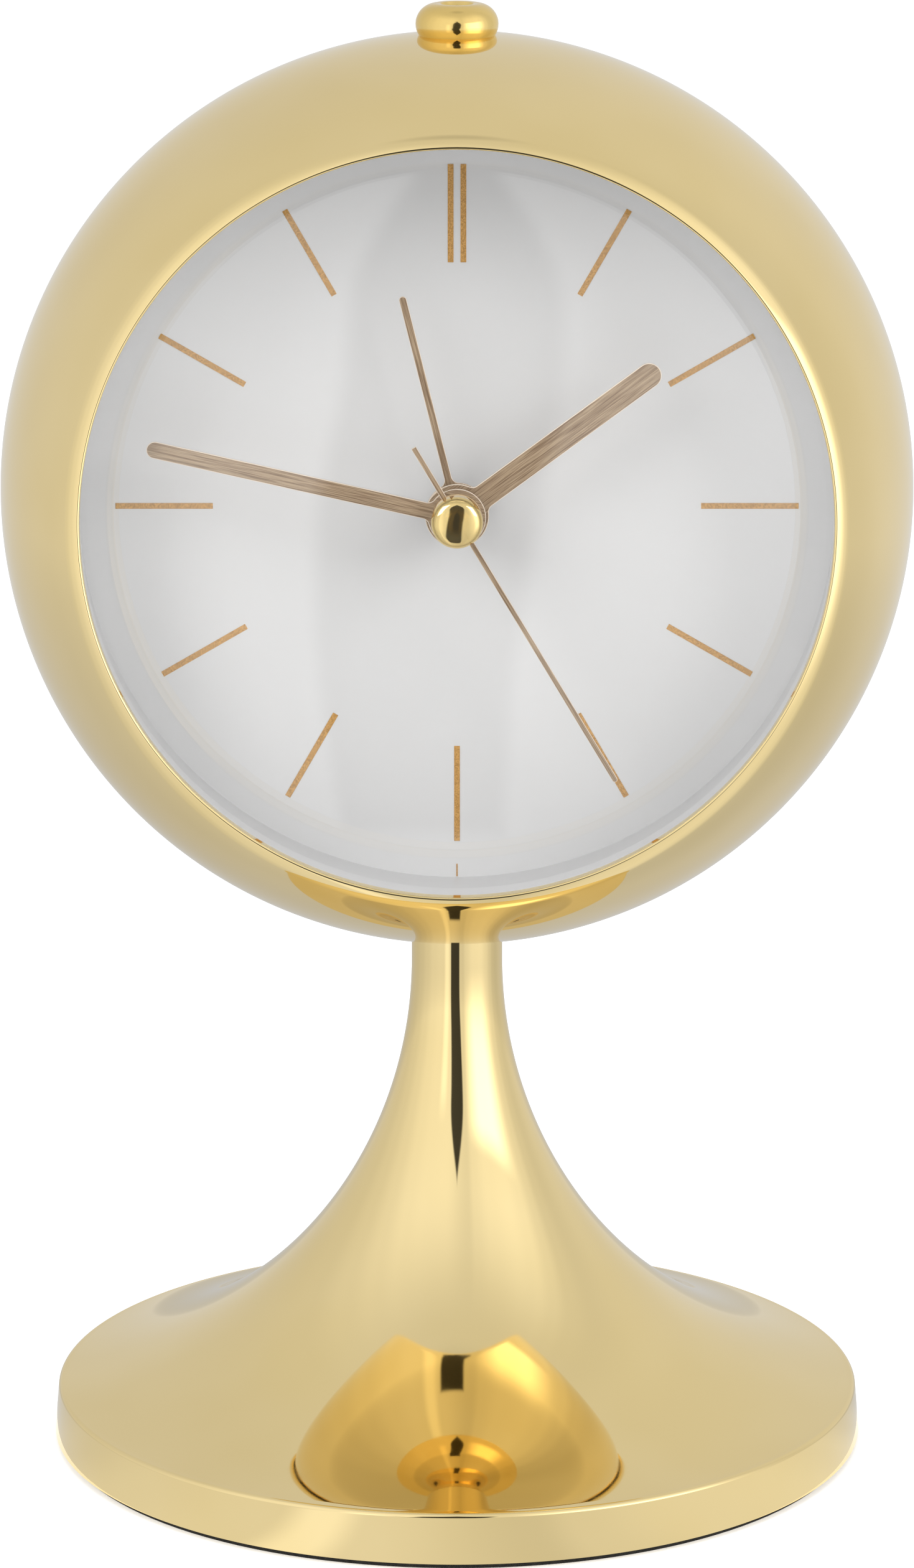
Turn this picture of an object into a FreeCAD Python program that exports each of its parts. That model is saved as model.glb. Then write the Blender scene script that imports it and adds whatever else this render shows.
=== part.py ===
"""Ball pedestal alarm clock: a polished ball case on a trumpet foot, four hands and a push button.

Millimetres, +Z up. The origin is the middle of the foot's underside, and the face looks along -Y.
The face, the hands, the movement and the back are drawn about a local Z that points out of the
face: local X is the clock's right as it is seen, local Y is up the dial. The face leans back.
"""
import FreeCAD, Part
import math
import os
import re

import Sketcher

Vector = FreeCAD.Vector
Rotation = FreeCAD.Rotation
Placement = FreeCAD.Placement

# Driving dimensions, in millimetres, degrees and counts
SIZES = (
    # Ball case
    ("case_radius", 55.0),
    ("case_wall", 0.8),
    ("case_height", 119.6),
    ("face_lean", 3.0),
    ("lip_depth", 31.88),
    ("lip_roll", 0.5),
    ("lip_return", 1.4),
    ("rear_depth", 26.85),
    # Trumpet foot
    ("base_radius", 50.25),
    ("rim_draft", 0.5),
    ("rim_height", 6.9),
    ("rim_wall", 3.2),
    ("rim_round", 0.6),
    ("stem_radius", 5.58),
    ("flare_radius", 55.3),
    ("foot_pad_thick", 0.8),
    ("foot_pad_inset", 0.9),
    ("base_plate_thick", 1.0),
    ("base_plate_lap", 1.2),
    ("cavity_rise", 3.6),
    ("cavity_waist_radius", 24.0),
    ("cavity_waist_height", 15.2),
    ("cavity_crown_radius", 9.0),
    ("cavity_crown_height", 33.0),
    ("weight_radius", 38.0),
    ("weight_hole_radius", 12.0),
    ("weight_thick", 5.0),
    # Tie rod that pulls the ball onto the stem
    ("rod_radius", 2.0),
    ("rod_clear", 0.2),
    ("rod_tail", 2.5),
    ("nut_across", 8.0),
    ("nut_thick", 3.2),
    ("washer_radius", 6.0),
    ("washer_thick", 1.0),
    ("saddle_radius", 7.0),
    ("saddle_thick", 1.6),
    ("seat_gap", 0.05),
    # Glass and the rings that hold it
    ("dial_depth", 13.8),
    ("dial_thick", 0.5),
    ("dial_lap", 3.3),
    ("dial_hole_fit", 0.2),
    ("wall_step", 1.0),
    ("wall_depth", 9.5),
    ("ring_lap", 3.5),
    ("glass_lap", 3.1),
    ("glass_edge", 1.9),
    ("dome_step", 0.3),
    ("glass_rise", 6.3),
    ("gasket_heel", 0.9),
    # Printed hour marks
    ("mark_inset", 3.4),
    ("mark_long", 11.5),
    ("mark_wide", 0.68),
    ("mark_twin_gap", 0.82),
    ("mark_thick", 0.05),
    ("tick_step", 0.9),
    ("tick_long", 1.5),
    ("tick_wide", 0.16),
    # Hands, from the dial outwards
    ("hand_thick", 0.3),
    ("hand_fillet", 0.9),
    ("alarm_hand_plane", 20.1),
    ("alarm_hand_inset", 17.4),
    ("alarm_hand_wide", 0.88),
    ("alarm_hub_radius", 3.7),
    ("hand_step", 1.45),
    ("hour_hand_inset", 14.5),
    ("hour_hand_wide", 2.92),
    ("hour_hub_radius", 3.74),
    ("minute_hand_inset", 6.7),
    ("minute_hand_wide", 1.98),
    ("minute_hub_radius", 3.38),
    ("second_hand_inset", 7.5),
    ("second_hand_wide", 0.62),
    ("second_hand_tail", 9.8),
    ("second_hub_radius", 1.4),
    ("cap_radius", 3.02),
    ("cap_skirt", 1.3),
    ("cap_rise", 2.5),
    ("collet_wall", 0.5),
    ("collet_long", 0.7),
    ("second_hand_angle", 149.0),
    ("minute_hand_angle", 282.7),
    ("hour_hand_angle", 53.6),
    ("alarm_hand_angle", 345.9),
    # Nested arbors
    ("second_arbor_radius", 0.42),
    ("arbor_fit", 0.05),
    ("tube_wall", 0.36),
    ("alarm_tube_wall", 0.5),
    ("nose_wall", 0.6),
    ("nose_long", 6.0),
    ("pivot_depth", 0.7),
    ("pivot_clear", 0.05),
    # Movement box
    ("chassis_thick", 2.4),
    ("chassis_lap", 3.2),
    ("window_fit", 0.1),
    ("movement_side", 50.0),
    ("movement_corner", 4.0),
    ("movement_deep", 16.0),
    ("movement_front_wall", 1.6),
    ("movement_wall", 1.2),
    ("movement_back_wall", 1.5),
    ("bridge_thick", 0.6),
    ("bridge_depth", 7.4),
    ("bridge_fit", 0.15),
    ("corner_post_radius", 2.2),
    ("corner_post_inset", 4.6),
    ("snap_arm_wide", 8.0),
    ("snap_arm_thick", 1.2),
    ("snap_hook", 0.7),
    ("snap_hook_thick", 1.2),
    # Wheels: thickness and the height of each layer behind the dial's back
    ("wheel_thick", 0.6),
    ("pinion_thick", 1.1),
    ("wheel_arbor_radius", 0.4),
    ("set_arbor_radius", 0.9),
    ("stem_gap", 1.5),
    ("stem_socket", 2.8),
    ("alarm_wheel_depth", 1.9),
    ("hour_wheel_depth", 3.1),
    ("minute_wheel_depth", 4.4),
    ("centre_wheel_depth", 5.8),
    ("third_wheel_depth", 8.7),
    ("second_wheel_depth", 10.5),
    ("fifth_wheel_depth", 12.3),
    ("rotor_magnet_radius", 2.6),
    ("rotor_magnet_long", 2.4),
    ("seconds_module", 0.46),
    ("third_module", 0.4),
    ("motion_module", 0.525),
    ("alarm_module", 0.56),
    ("fifth_direction", 250.0),
    ("third_direction", 330.0),
    ("knob_height", 6.0),
    # Motor, board and crystal
    ("stator_thick", 0.8),
    ("stator_gap", 0.5),
    ("stator_rim", 0.6),
    ("stator_leg", 2.2),
    ("coil_radius", 2.0),
    ("coil_long", 17.5),
    ("coil_core", 0.8),
    ("coil_flange", 0.8),
    ("coil_tab", 3.0),
    ("coil_room", 0.5),
    ("coil_rise", 8.3),
    ("board_long", 17.0),
    ("board_wide", 10.0),
    ("board_thick", 0.8),
    ("board_left", 0.7),
    ("board_low", 22.5),
    ("chip_side", 4.0),
    ("chip_thick", 0.7),
    ("crystal_radius", 1.0),
    ("crystal_long", 6.0),
    # Back cover
    ("flange_lap", 1.2),
    ("cover_thick", 1.8),
    ("cover_fit", 0.2),
    ("cover_spigot_wall", 1.8),
    ("cover_spigot_deep", 3.4),
    ("cover_bead", 0.45),
    ("cover_bead_rise", 0.7),
    ("cover_post_radius", 3.0),
    ("cover_post_inset", 7.0),
    ("cell_radius", 7.1),
    ("cell_long", 49.2),
    ("cell_button_radius", 2.6),
    ("cell_button_long", 1.3),
    ("cell_drop", 17.5),
    ("bay_wall", 1.2),
    ("bay_end_room", 1.7),
    ("bay_side_room", 0.2),
    ("door_lap", 2.2),
    ("door_thick", 1.2),
    ("door_fit", 0.15),
    ("door_rib_wide", 12.0),
    ("door_rib_long", 1.8),
    ("door_rib_thick", 1.0),
    ("door_rib_fit", 0.3),
    ("knuckle_radius", 1.1),
    ("knuckle_half", 10.0),
    ("knuckle_reach", 1.2),
    ("door_pin_radius", 0.5),
    ("door_pin_long", 2.6),
    ("contact_thick", 0.35),
    ("contact_wide", 7.0),
    ("contact_tail_wide", 3.0),
    ("contact_tab_long", 5.1),
    ("knob_radius", 5.5),
    ("knob_thick", 4.2),
    ("knob_flute_radius", 0.9),
    ("knob_gap", 0.3),
    ("knob_stem_radius", 1.25),
    ("stem_hole_clear", 0.15),
    ("slide_height", 20.0),
    ("slide_travel", 4.0),
    ("slide_long", 5.0),
    ("slide_wide", 3.2),
    ("slide_proud", 1.6),
    ("slide_skirt", 1.6),
    ("slide_skirt_thick", 1.0),
    ("slide_rail", 1.2),
    ("slide_fit", 0.1),
    ("sounder_radius", 9.0),
    ("sounder_thick", 4.0),
    ("sounder_side", 22.0),
    ("sound_hole_radius", 0.9),
    ("sound_ring_radius", 4.5),
    ("sounder_fit", 0.2),
    ("sounder_ring", 1.0),
    ("sounder_ring_tall", 3.0),
    # Push button on the top
    ("button_tube_radius", 2.45),
    ("button_ring_radius", 2.49),
    ("button_equator", 1.35),
    ("button_dimple_radius", 2.0),
    ("button_dimple_deep", 1.1),
    ("button_hole_radius", 4.9),
    ("button_skirt_radius", 4.3),
    ("button_skirt_deep", 1.2),
    ("plunger_radius", 1.5),
    ("plunger_head_radius", 2.6),
    ("plunger_head_thick", 0.7),
    ("plunger_tip_radius", 1.0),
    ("plunger_tip_long", 1.6),
    ("guide_radius", 7.4),
    ("guide_thick", 2.6),
    ("guide_fit", 0.08),
    ("guide_well_radius", 5.1),
    ("guide_well_floor", 1.2),
    ("switch_side", 6.0),
    ("switch_tall", 3.5),
    ("switch_gap", 0.1),
    ("switch_side_gap", 0.3),
    ("plunger_room", 0.7),
)
# Radii and reaches that follow from the ball's, so that glass, dial, marks, hands and cover stay with it
FOLLOWING_SIZES = (
    ("lip_radius", "sqrt((case_radius - lip_roll)^2 - lip_depth^2) - lip_roll"),
    ("wall_radius", "lip_radius + wall_step"),
    ("ring_radius", "lip_radius + ring_lap"),
    ("glass_radius", "lip_radius + glass_lap"),
    ("glass_dome_radius", "lip_radius + dome_step"),
    ("dial_radius", "lip_radius + dial_lap"),
    ("chassis_radius", "lip_radius + chassis_lap"),
    ("mark_reach", "lip_radius - mark_inset"),
    ("tick_reach", "lip_radius + tick_step"),
    ("alarm_hand_long", "lip_radius - alarm_hand_inset"),
    ("hour_hand_long", "lip_radius - hour_hand_inset"),
    ("minute_hand_long", "lip_radius - minute_hand_inset"),
    ("second_hand_long", "lip_radius - second_hand_inset"),
    ("rear_radius", "sqrt(case_radius^2 - rear_depth^2)"),
    ("cover_flange_radius", "rear_radius + flange_lap"),
    ("cover_post_reach", "rear_radius - cover_post_inset"),
)

# Tooth counts: each wheel with the pinion that drives it
ROTOR_LEAVES = 6
FIFTH_TEETH = 30
FIFTH_LEAVES = 6
SECOND_TEETH = 36
SECOND_LEAVES = 6
THIRD_TEETH = 45
THIRD_LEAVES = 6
CENTRE_TEETH = 48
CANNON_LEAVES = 10
MINUTE_TEETH = 30
MINUTE_LEAVES = 8
HOUR_TEETH = 32
ALARM_TEETH = 30
ALARM_LEAVES = 15
KNOB_FLUTES = 12
SOUND_HOLES = 6

# A tooth's height above and below its pitch circle, in modules
TIP_SHARE = 0.55
ROOT_SHARE = 1.05
HOURS = 12

doc = FreeCAD.newDocument("ball_clock")
sheet = doc.addObject("Spreadsheet::Sheet", "dims")
ALIASES = set()
rows = [(alias, str(number)) for alias, number in SIZES]
rows += [(alias, "=" + text) for alias, text in FOLLOWING_SIZES]
for row, (alias, content) in enumerate(rows, 1):
    sheet.set("A%d" % row, alias)
    sheet.set("B%d" % row, content)
    sheet.setAlias("B%d" % row, alias)
    ALIASES.add(alias)
doc.recompute()


def tied(text):
    """Expression text with each size's name pointed at its cell."""
    def point(found):
        word = found.group()
        return "dims." + word if word in ALIASES else word

    return re.sub(r"[a-z_]+", point, text)


def size(text):
    """Value of an expression in the sizes."""
    return float(sheet.evalExpression(tied(text)))


def plane_of(body, role):
    return [item for item in body.Origin.OriginFeatures if item.Role == role][0]


def add_edge(sketch, start, end, bend):
    """One edge of an outline: a line, or the shorter arc of a given radius to the left or right."""
    if bend is None:
        sketch.addGeometry(Part.LineSegment(start, end), False)
        return
    radius = size(bend[0])
    along = end - start
    normal = Vector(-along.y, along.x, 0).normalize()
    sag = math.sqrt(max(radius ** 2 - (along.Length / 2) ** 2, 0.0))
    centre = (start + end) * 0.5 + normal * sag * bend[1]
    first = math.atan2(start.y - centre.y, start.x - centre.x)
    last = math.atan2(end.y - centre.y, end.x - centre.x)
    if (last - first) % (2 * math.pi) > math.pi:
        first, last = last, first
    circle = Part.Circle(centre, Vector(0, 0, 1), radius)
    sketch.addGeometry(Part.ArcOfCircle(circle, first, last), False)


def pin_point(sketch, edge, end, across, up):
    """Hold a corner at two expressions from the sketch's origin."""
    for kind, text, axis in (("DistanceX", across, -2), ("DistanceY", up, -1)):
        if text == "0":
            sketch.addConstraint(Sketcher.Constraint("PointOnObject", edge, end, axis))
            continue
        index = sketch.addConstraint(Sketcher.Constraint(kind, -1, 1, edge, end, size(text)))
        sketch.setExpression("Constraints[%d]" % index, tied(text))


def draw_loop(sketch, loop):
    """Closed outline. Each corner is (across, up) or (across, up, radius, side) for an arc to the next."""
    offset = sketch.GeometryCount
    count = len(loop)
    spots = [Vector(size(corner[0]), size(corner[1]), 0) for corner in loop]
    ends = []
    for index, corner in enumerate(loop):
        bend = corner[2:] if len(corner) > 2 else None
        add_edge(sketch, spots[index], spots[(index + 1) % count], bend)
        drawn = sketch.Geometry[offset + index]
        forward = (drawn.StartPoint - spots[index]).Length < (drawn.EndPoint - spots[index]).Length
        ends.append((1, 2) if forward else (2, 1))
    for index in range(count):
        after = (index + 1) % count
        joint = ("Coincident", offset + index, ends[index][1], offset + after, ends[after][0])
        sketch.addConstraint(Sketcher.Constraint(*joint))
    for index, corner in enumerate(loop):
        pin_point(sketch, offset + index, ends[index][0], corner[0], corner[1])
        if len(corner) > 2:
            at = sketch.addConstraint(Sketcher.Constraint("Radius", offset + index, size(corner[2])))
            sketch.setExpression("Constraints[%d]" % at, tied(corner[2]))


def draw_circle(sketch, across, up, radius):
    index = sketch.GeometryCount
    centre = Vector(size(across), size(up), 0)
    sketch.addGeometry(Part.Circle(centre, Vector(0, 0, 1), size(radius)), False)
    pin_point(sketch, index, 3, across, up)
    at = sketch.addConstraint(Sketcher.Constraint("Radius", index, size(radius)))
    sketch.setExpression("Constraints[%d]" % at, tied(radius))


def new_sketch(body, name, role, lift="0"):
    sketch = body.newObject("Sketcher::SketchObject", name)
    sketch.AttachmentSupport = (plane_of(body, role), [""])
    sketch.MapMode = "FlatFace"
    if lift != "0":
        sketch.setExpression("AttachmentOffset.Base.z", tied(lift))
    return sketch


def draw_shapes(sketch, shapes):
    for shape in shapes:
        if isinstance(shape, tuple):
            draw_circle(sketch, *shape)
        else:
            draw_loop(sketch, shape)


def new_body(label):
    body = doc.addObject("PartDesign::Body", label)
    body.Label = label
    return body


def turned(label, *loops):
    """Body of revolution about Z, from outlines in radius and height."""
    body = new_body(label)
    spin(body, label + "_turned", *loops)
    return body


def spin(body, name, *loops):
    sketch = new_sketch(body, name + "_outline", "XZ_Plane")
    draw_shapes(sketch, loops)
    feature = body.newObject("PartDesign::Revolution", name)
    feature.Profile = sketch
    feature.ReferenceAxis = (sketch, ["V_Axis"])
    feature.Angle = 360
    return feature


def pad(body, name, shapes, floor, rise):
    """Raise flat shapes from a floor height, up along Z."""
    sketch = new_sketch(body, name + "_outline", "XY_Plane", floor)
    draw_shapes(sketch, shapes)
    feature = body.newObject("PartDesign::Pad", name)
    feature.Profile = sketch
    feature.Length = size(rise)
    feature.setExpression("Length", tied(rise))
    return feature


def pocket(body, name, shapes, top, depth):
    """Sink flat shapes from a top height, down along Z."""
    sketch = new_sketch(body, name + "_outline", "XY_Plane", top)
    draw_shapes(sketch, shapes)
    feature = body.newObject("PartDesign::Pocket", name)
    feature.Profile = sketch
    feature.Length = size(depth)
    feature.setExpression("Length", tied(depth))
    return feature


def box_loop(left, low, right, high):
    return [(left, low), (right, low), (right, high), (left, high)]


def round_box_loop(half_wide, half_tall, corner):
    """Rectangle about the origin with rounded corners, going round to the left."""
    inner_wide = "(%s - %s)" % (half_wide, corner)
    inner_tall = "(%s - %s)" % (half_tall, corner)
    return [
        ("-" + inner_wide, "-(%s)" % half_tall),
        (inner_wide, "-(%s)" % half_tall, corner, 1),
        (half_wide, "-" + inner_tall),
        (half_wide, inner_tall, corner, 1),
        (inner_wide, half_tall),
        ("-" + inner_wide, half_tall, corner, 1),
        ("-(%s)" % half_wide, inner_tall),
        ("-(%s)" % half_wide, "-" + inner_tall, corner, 1),
    ]


def on_face(item, turn=0.0):
    """Carry a piece drawn about +Z to the face's axis, turned clockwise as seen from the front."""
    lean = Rotation(Vector(1, 0, 0), 90 - size("face_lean"))
    spin_back = Rotation(Vector(0, 0, 1), -turn)
    item.Placement = Placement(Vector(0, 0, size("case_height")), lean.multiply(spin_back))
    return item


def solid_node(label, shape):
    """Piece whose shape comes from a formula."""
    item = doc.addObject("Part::Feature", label)
    item.Label = label
    item.Shape = shape
    return item


def group(label, members):
    item = doc.addObject("Part::Compound", label)
    item.Label = label
    item.Links = members
    return item


# Heights along the face's axis, from the ball's centre
DIAL_BACK = "(dial_depth - dial_thick)"
GLASS_BACK = "(dial_depth + wall_depth)"
GLASS_FRONT = "(dial_depth + wall_depth + glass_edge)"
MOVEMENT_BACK = "(dial_depth - dial_thick - movement_deep)"
FRONT_INSIDE = "(dial_depth - dial_thick - movement_front_wall)"
BACK_INSIDE = "(dial_depth - dial_thick - movement_deep + movement_back_wall)"
BRIDGE_FRONT = "(dial_depth - dial_thick - bridge_depth)"
BRIDGE_BACK = "(dial_depth - dial_thick - bridge_depth - bridge_thick)"
ALARM_PLANE = "alarm_hand_plane"
HOUR_PLANE = "(alarm_hand_plane + hand_step)"
MINUTE_PLANE = "(alarm_hand_plane + 2 * hand_step)"
SECOND_PLANE = "(alarm_hand_plane + 3 * hand_step)"
COVER_FRONT = "(-rear_depth)"
COVER_BACK = "(-rear_depth - cover_thick)"
REAR_EDGE_INSIDE = "(-sqrt((case_radius - case_wall)^2 - rear_radius^2))"
CELL_AXIS = "(%s + door_thick + bay_side_room + cell_radius)" % COVER_BACK
BAY_FLOOR = "(%s + door_thick + 2 * bay_side_room + 2 * cell_radius)" % COVER_BACK

# Radii of the nested tubes, each a running fit on the last
CANNON_BORE = "(second_arbor_radius + arbor_fit)"
CANNON_TUBE = "(second_arbor_radius + arbor_fit + tube_wall)"
HOUR_BORE = "(second_arbor_radius + 2 * arbor_fit + tube_wall)"
HOUR_TUBE = "(second_arbor_radius + 2 * arbor_fit + 2 * tube_wall)"
ALARM_BORE = "(second_arbor_radius + 3 * arbor_fit + 2 * tube_wall)"
ALARM_TUBE = "(second_arbor_radius + 3 * arbor_fit + 2 * tube_wall + alarm_tube_wall)"
NOSE_BORE = "(second_arbor_radius + 4 * arbor_fit + 2 * tube_wall + alarm_tube_wall)"
NOSE_RADIUS = "(second_arbor_radius + 4 * arbor_fit + 2 * tube_wall + alarm_tube_wall + nose_wall)"

# Where the ball meets the foot and the button, in height above the table
FOOT_TOP = "(foot_pad_thick)"
PLATE_TOP = "(foot_pad_thick + base_plate_thick)"
ROD_BORE = "(rod_radius + rod_clear)"
RIM_EDGE = "(base_radius - rim_draft - rim_round)"
FLARE_START = "(rim_height + sqrt(flare_radius^2 - (stem_radius + flare_radius - %s)^2))" % RIM_EDGE
SADDLE_TOP = "(case_height - case_radius + case_wall + saddle_thick)"
BUTTON_SEAT = "(case_height + sqrt(case_radius^2 - button_hole_radius^2))"
GUIDE_FLOOR = "(case_height + sqrt((case_radius - case_wall - seat_gap)^2 - guide_radius^2) - guide_thick)"


def foot():
    """Felt-dark foam pad, steel closing plate, iron weight and the cast trumpet."""
    pad_edge = "(base_radius - foot_pad_inset)"
    turned("foot_pad", [("0", "0"), (pad_edge, "0"), (pad_edge, FOOT_TOP), ("0", FOOT_TOP)])
    plate_edge = "(base_radius - base_plate_lap - rod_clear)"
    turned("base_plate", [("0", FOOT_TOP), (plate_edge, FOOT_TOP), (plate_edge, PLATE_TOP), ("0", PLATE_TOP)])
    weight_top = "(%s + weight_thick)" % PLATE_TOP
    turned("base_weight", [
        ("weight_hole_radius", PLATE_TOP),
        ("weight_radius", PLATE_TOP),
        ("weight_radius", weight_top),
        ("weight_hole_radius", weight_top),
    ])
    cup = "(case_radius + seat_gap)"
    recess = "(base_radius - base_plate_lap)"
    cavity = "(base_radius - rim_wall)"
    turned("pedestal", [
        (ROD_BORE, "case_height - sqrt(%s^2 - %s^2)" % (cup, ROD_BORE), cup, 1),
        ("stem_radius", "case_height - sqrt(%s^2 - stem_radius^2)" % cup),
        ("stem_radius", FLARE_START, "flare_radius", 1),
        (RIM_EDGE, "rim_height", "rim_round", -1),
        (RIM_EDGE + " + rim_round", "rim_height - rim_round"),
        ("base_radius", FOOT_TOP),
        (recess, FOOT_TOP),
        (recess, PLATE_TOP),
        (cavity, PLATE_TOP),
        (cavity, PLATE_TOP + " + cavity_rise"),
        ("cavity_waist_radius", "cavity_waist_height"),
        ("cavity_crown_radius", "cavity_crown_height"),
        (ROD_BORE, "cavity_crown_height"),
    ])


def hex_nut(name, floor):
    blank = doc.addObject("Part::Prism", name + "_blank")
    blank.Polygon = 6
    blank.setExpression("Circumradius", tied("nut_across / sqrt(3)"))
    blank.setExpression("Height", tied("nut_thick"))
    blank.setExpression("Placement.Base.z", tied(floor))
    bore = doc.addObject("Part::Cylinder", name + "_bore")
    bore.setExpression("Radius", tied("rod_radius + seat_gap"))
    bore.setExpression("Height", tied("nut_thick"))
    bore.setExpression("Placement.Base.z", tied(floor))
    nut = doc.addObject("Part::Cut", name)
    nut.Base = blank
    nut.Tool = bore
    return nut


def tie_rod():
    """The rod, its two nuts, the flat washer below and the saddle that follows the ball inside."""
    nut_floor = "(cavity_crown_height - washer_thick - nut_thick)"
    rod_floor = "(cavity_crown_height - washer_thick - nut_thick - rod_tail)"
    rod_top = "(%s + nut_thick + rod_tail)" % SADDLE_TOP
    rod = doc.addObject("Part::Cylinder", "tie_rod")
    rod.Label = "tie_rod"
    rod.setExpression("Radius", tied("rod_radius"))
    rod.setExpression("Height", tied("%s - %s" % (rod_top, rod_floor)))
    rod.setExpression("Placement.Base.z", tied(rod_floor))
    group("tie_nuts", [hex_nut("lower_nut", nut_floor), hex_nut("upper_nut", SADDLE_TOP)])
    turned("tie_washer", [
        (ROD_BORE, "cavity_crown_height - washer_thick"),
        ("washer_radius", "cavity_crown_height - washer_thick"),
        ("washer_radius", "cavity_crown_height"),
        (ROD_BORE, "cavity_crown_height"),
    ])
    inside = "(case_radius - case_wall - seat_gap)"
    turned("saddle_washer", [
        (ROD_BORE, "case_height - sqrt(%s^2 - %s^2)" % (inside, ROD_BORE), inside, 1),
        ("saddle_radius", "case_height - sqrt(%s^2 - saddle_radius^2)" % inside),
        ("saddle_radius", SADDLE_TOP),
        (ROD_BORE, SADDLE_TOP),
    ])


def pole_drill(name, radius, floor, rise):
    """Upright cylinder through the ball's top or bottom."""
    drill = doc.addObject("Part::Cylinder", name)
    drill.setExpression("Radius", tied(radius))
    drill.setExpression("Height", tied(rise))
    drill.setExpression("Placement.Base.z", tied(floor))
    return drill


def case_shell():
    """Spun ball with a rolled lip round the glass, open at the back, drilled at both poles."""
    inner = "(case_radius - case_wall)"
    roll = "(case_radius - lip_roll)"
    lip_height = "sqrt(%s^2 - (lip_radius + lip_roll)^2)" % roll
    lip_outside = "(lip_radius + case_wall)"
    ball = turned("case_ball", [
        ("lip_radius", lip_height + " - lip_return"),
        ("lip_radius", lip_height, "lip_roll", -1),
        ("(lip_radius + lip_roll) * case_radius / %s" % roll,
         "%s * case_radius / %s" % (lip_height, roll), "case_radius", -1),
        ("rear_radius", COVER_FRONT),
        ("rear_radius", REAR_EDGE_INSIDE, inner, 1),
        (lip_outside, "sqrt(%s^2 - %s^2)" % (inner, lip_outside)),
        (lip_outside, lip_height + " - lip_return"),
    ])
    on_face(ball)
    drills = doc.addObject("Part::MultiFuse", "case_drills")
    drills.Shapes = [
        pole_drill("button_drill", "button_hole_radius", "case_height", "case_radius"),
        pole_drill("rod_drill", ROD_BORE, "case_height - case_radius", "case_radius / 2"),
    ]
    shell = doc.addObject("Part::Cut", "case_shell")
    shell.Label = "case_shell"
    shell.Base = ball
    shell.Tool = drills


def glass_stack():
    """Domed glass between the dial's wall and the ring that seats it on the lip."""
    curve = "((glass_dome_radius^2 + glass_rise^2) / (2 * glass_rise))"
    on_face(turned("glass", [
        ("0", GLASS_BACK + " + glass_rise", curve, -1),
        ("glass_dome_radius", GLASS_BACK),
        ("glass_radius", GLASS_BACK),
        ("glass_radius", GLASS_FRONT),
        ("glass_dome_radius", GLASS_FRONT, curve, 1),
        ("0", GLASS_FRONT + " + glass_rise"),
    ]))
    lip_end = "(sqrt((case_radius - lip_roll)^2 - (lip_radius + lip_roll)^2) - lip_return)"
    on_face(turned("glass_gasket", [
        ("glass_dome_radius", GLASS_FRONT),
        ("glass_radius", GLASS_FRONT),
        ("glass_radius", GLASS_FRONT + " + gasket_heel"),
        ("lip_radius + case_wall", lip_end),
        ("glass_dome_radius", lip_end),
    ]))
    on_face(turned("dial_wall", [
        ("wall_radius", "dial_depth"),
        ("ring_radius", "dial_depth"),
        ("ring_radius", GLASS_BACK),
        ("wall_radius", GLASS_BACK),
    ]))
    hole = "(%s + dial_hole_fit)" % NOSE_RADIUS
    on_face(turned("dial", [
        (hole, DIAL_BACK),
        ("dial_radius", DIAL_BACK),
        ("dial_radius", "dial_depth"),
        (hole, "dial_depth"),
    ]))


def printed_bar(name, turn, reach, long, wide, sideways):
    """One printed stroke of the dial, standing on its front."""
    bar = doc.addObject("Part::Box", name)
    bar.setExpression("Length", tied(wide))
    bar.setExpression("Width", tied(long))
    bar.setExpression("Height", tied("mark_thick"))
    face = on_face(bar, turn).Placement
    side = size("%s - (%s) / 2" % (sideways, wide))
    corner = Vector(side, size("%s - %s" % (reach, long)), size("dial_depth"))
    bar.Placement = face.multiply(Placement(corner, Rotation()))
    return bar


def hour_marks():
    """Eleven bars, the pair at twelve and the fine tick under the six."""
    hour_angle = 360 / HOURS
    twin = "(mark_twin_gap + mark_wide) / 2"
    bars = [
        printed_bar("mark_twelve_left", 0, "mark_reach", "mark_long", "mark_wide", "-" + twin),
        printed_bar("mark_twelve_right", 0, "mark_reach", "mark_long", "mark_wide", twin),
        printed_bar("tick_six", HOURS / 2 * hour_angle, "tick_reach", "tick_long", "tick_wide", "0"),
    ]
    for hour in range(1, HOURS):
        spot = ("mark_reach", "mark_long", "mark_wide", "0")
        bars.append(printed_bar("mark_%d" % hour, hour * hour_angle, *spot))
    group("hour_marks", bars)


def blade_loop(long, wide, root):
    """Strip with a half-round end, from near the hub's middle to the tip."""
    half = "(%s / 2)" % wide
    neck = "(%s - %s)" % (long, half)
    return [
        (half, root),
        (half, neck, half, 1),
        ("0", long, half, 1),
        ("-" + half, neck),
        ("-" + half, root),
    ]


def soften_root(body, after, hub_radius, wide, plane):
    """Fillets where the blade leaves the hub."""
    doc.recompute()
    spot = Vector(size(wide) / 2, math.sqrt(size(hub_radius) ** 2 - (size(wide) / 2) ** 2), 0)
    chosen = []
    for index, edge in enumerate(after.Shape.Edges, 1):
        first, last = edge.Vertexes[0].Point, edge.Vertexes[-1].Point
        upright = abs((last - first).z) > size("hand_thick") / 2
        near = abs(abs(first.x) - spot.x) < size("arbor_fit") and abs(first.y - spot.y) < size("arbor_fit")
        if upright and near:
            chosen.append("Edge%d" % index)
    fillet = body.newObject("PartDesign::Fillet", body.Label + "_root")
    fillet.Base = (after, chosen)
    fillet.Radius = size("hand_fillet")
    fillet.setExpression("Radius", tied("hand_fillet"))


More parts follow.
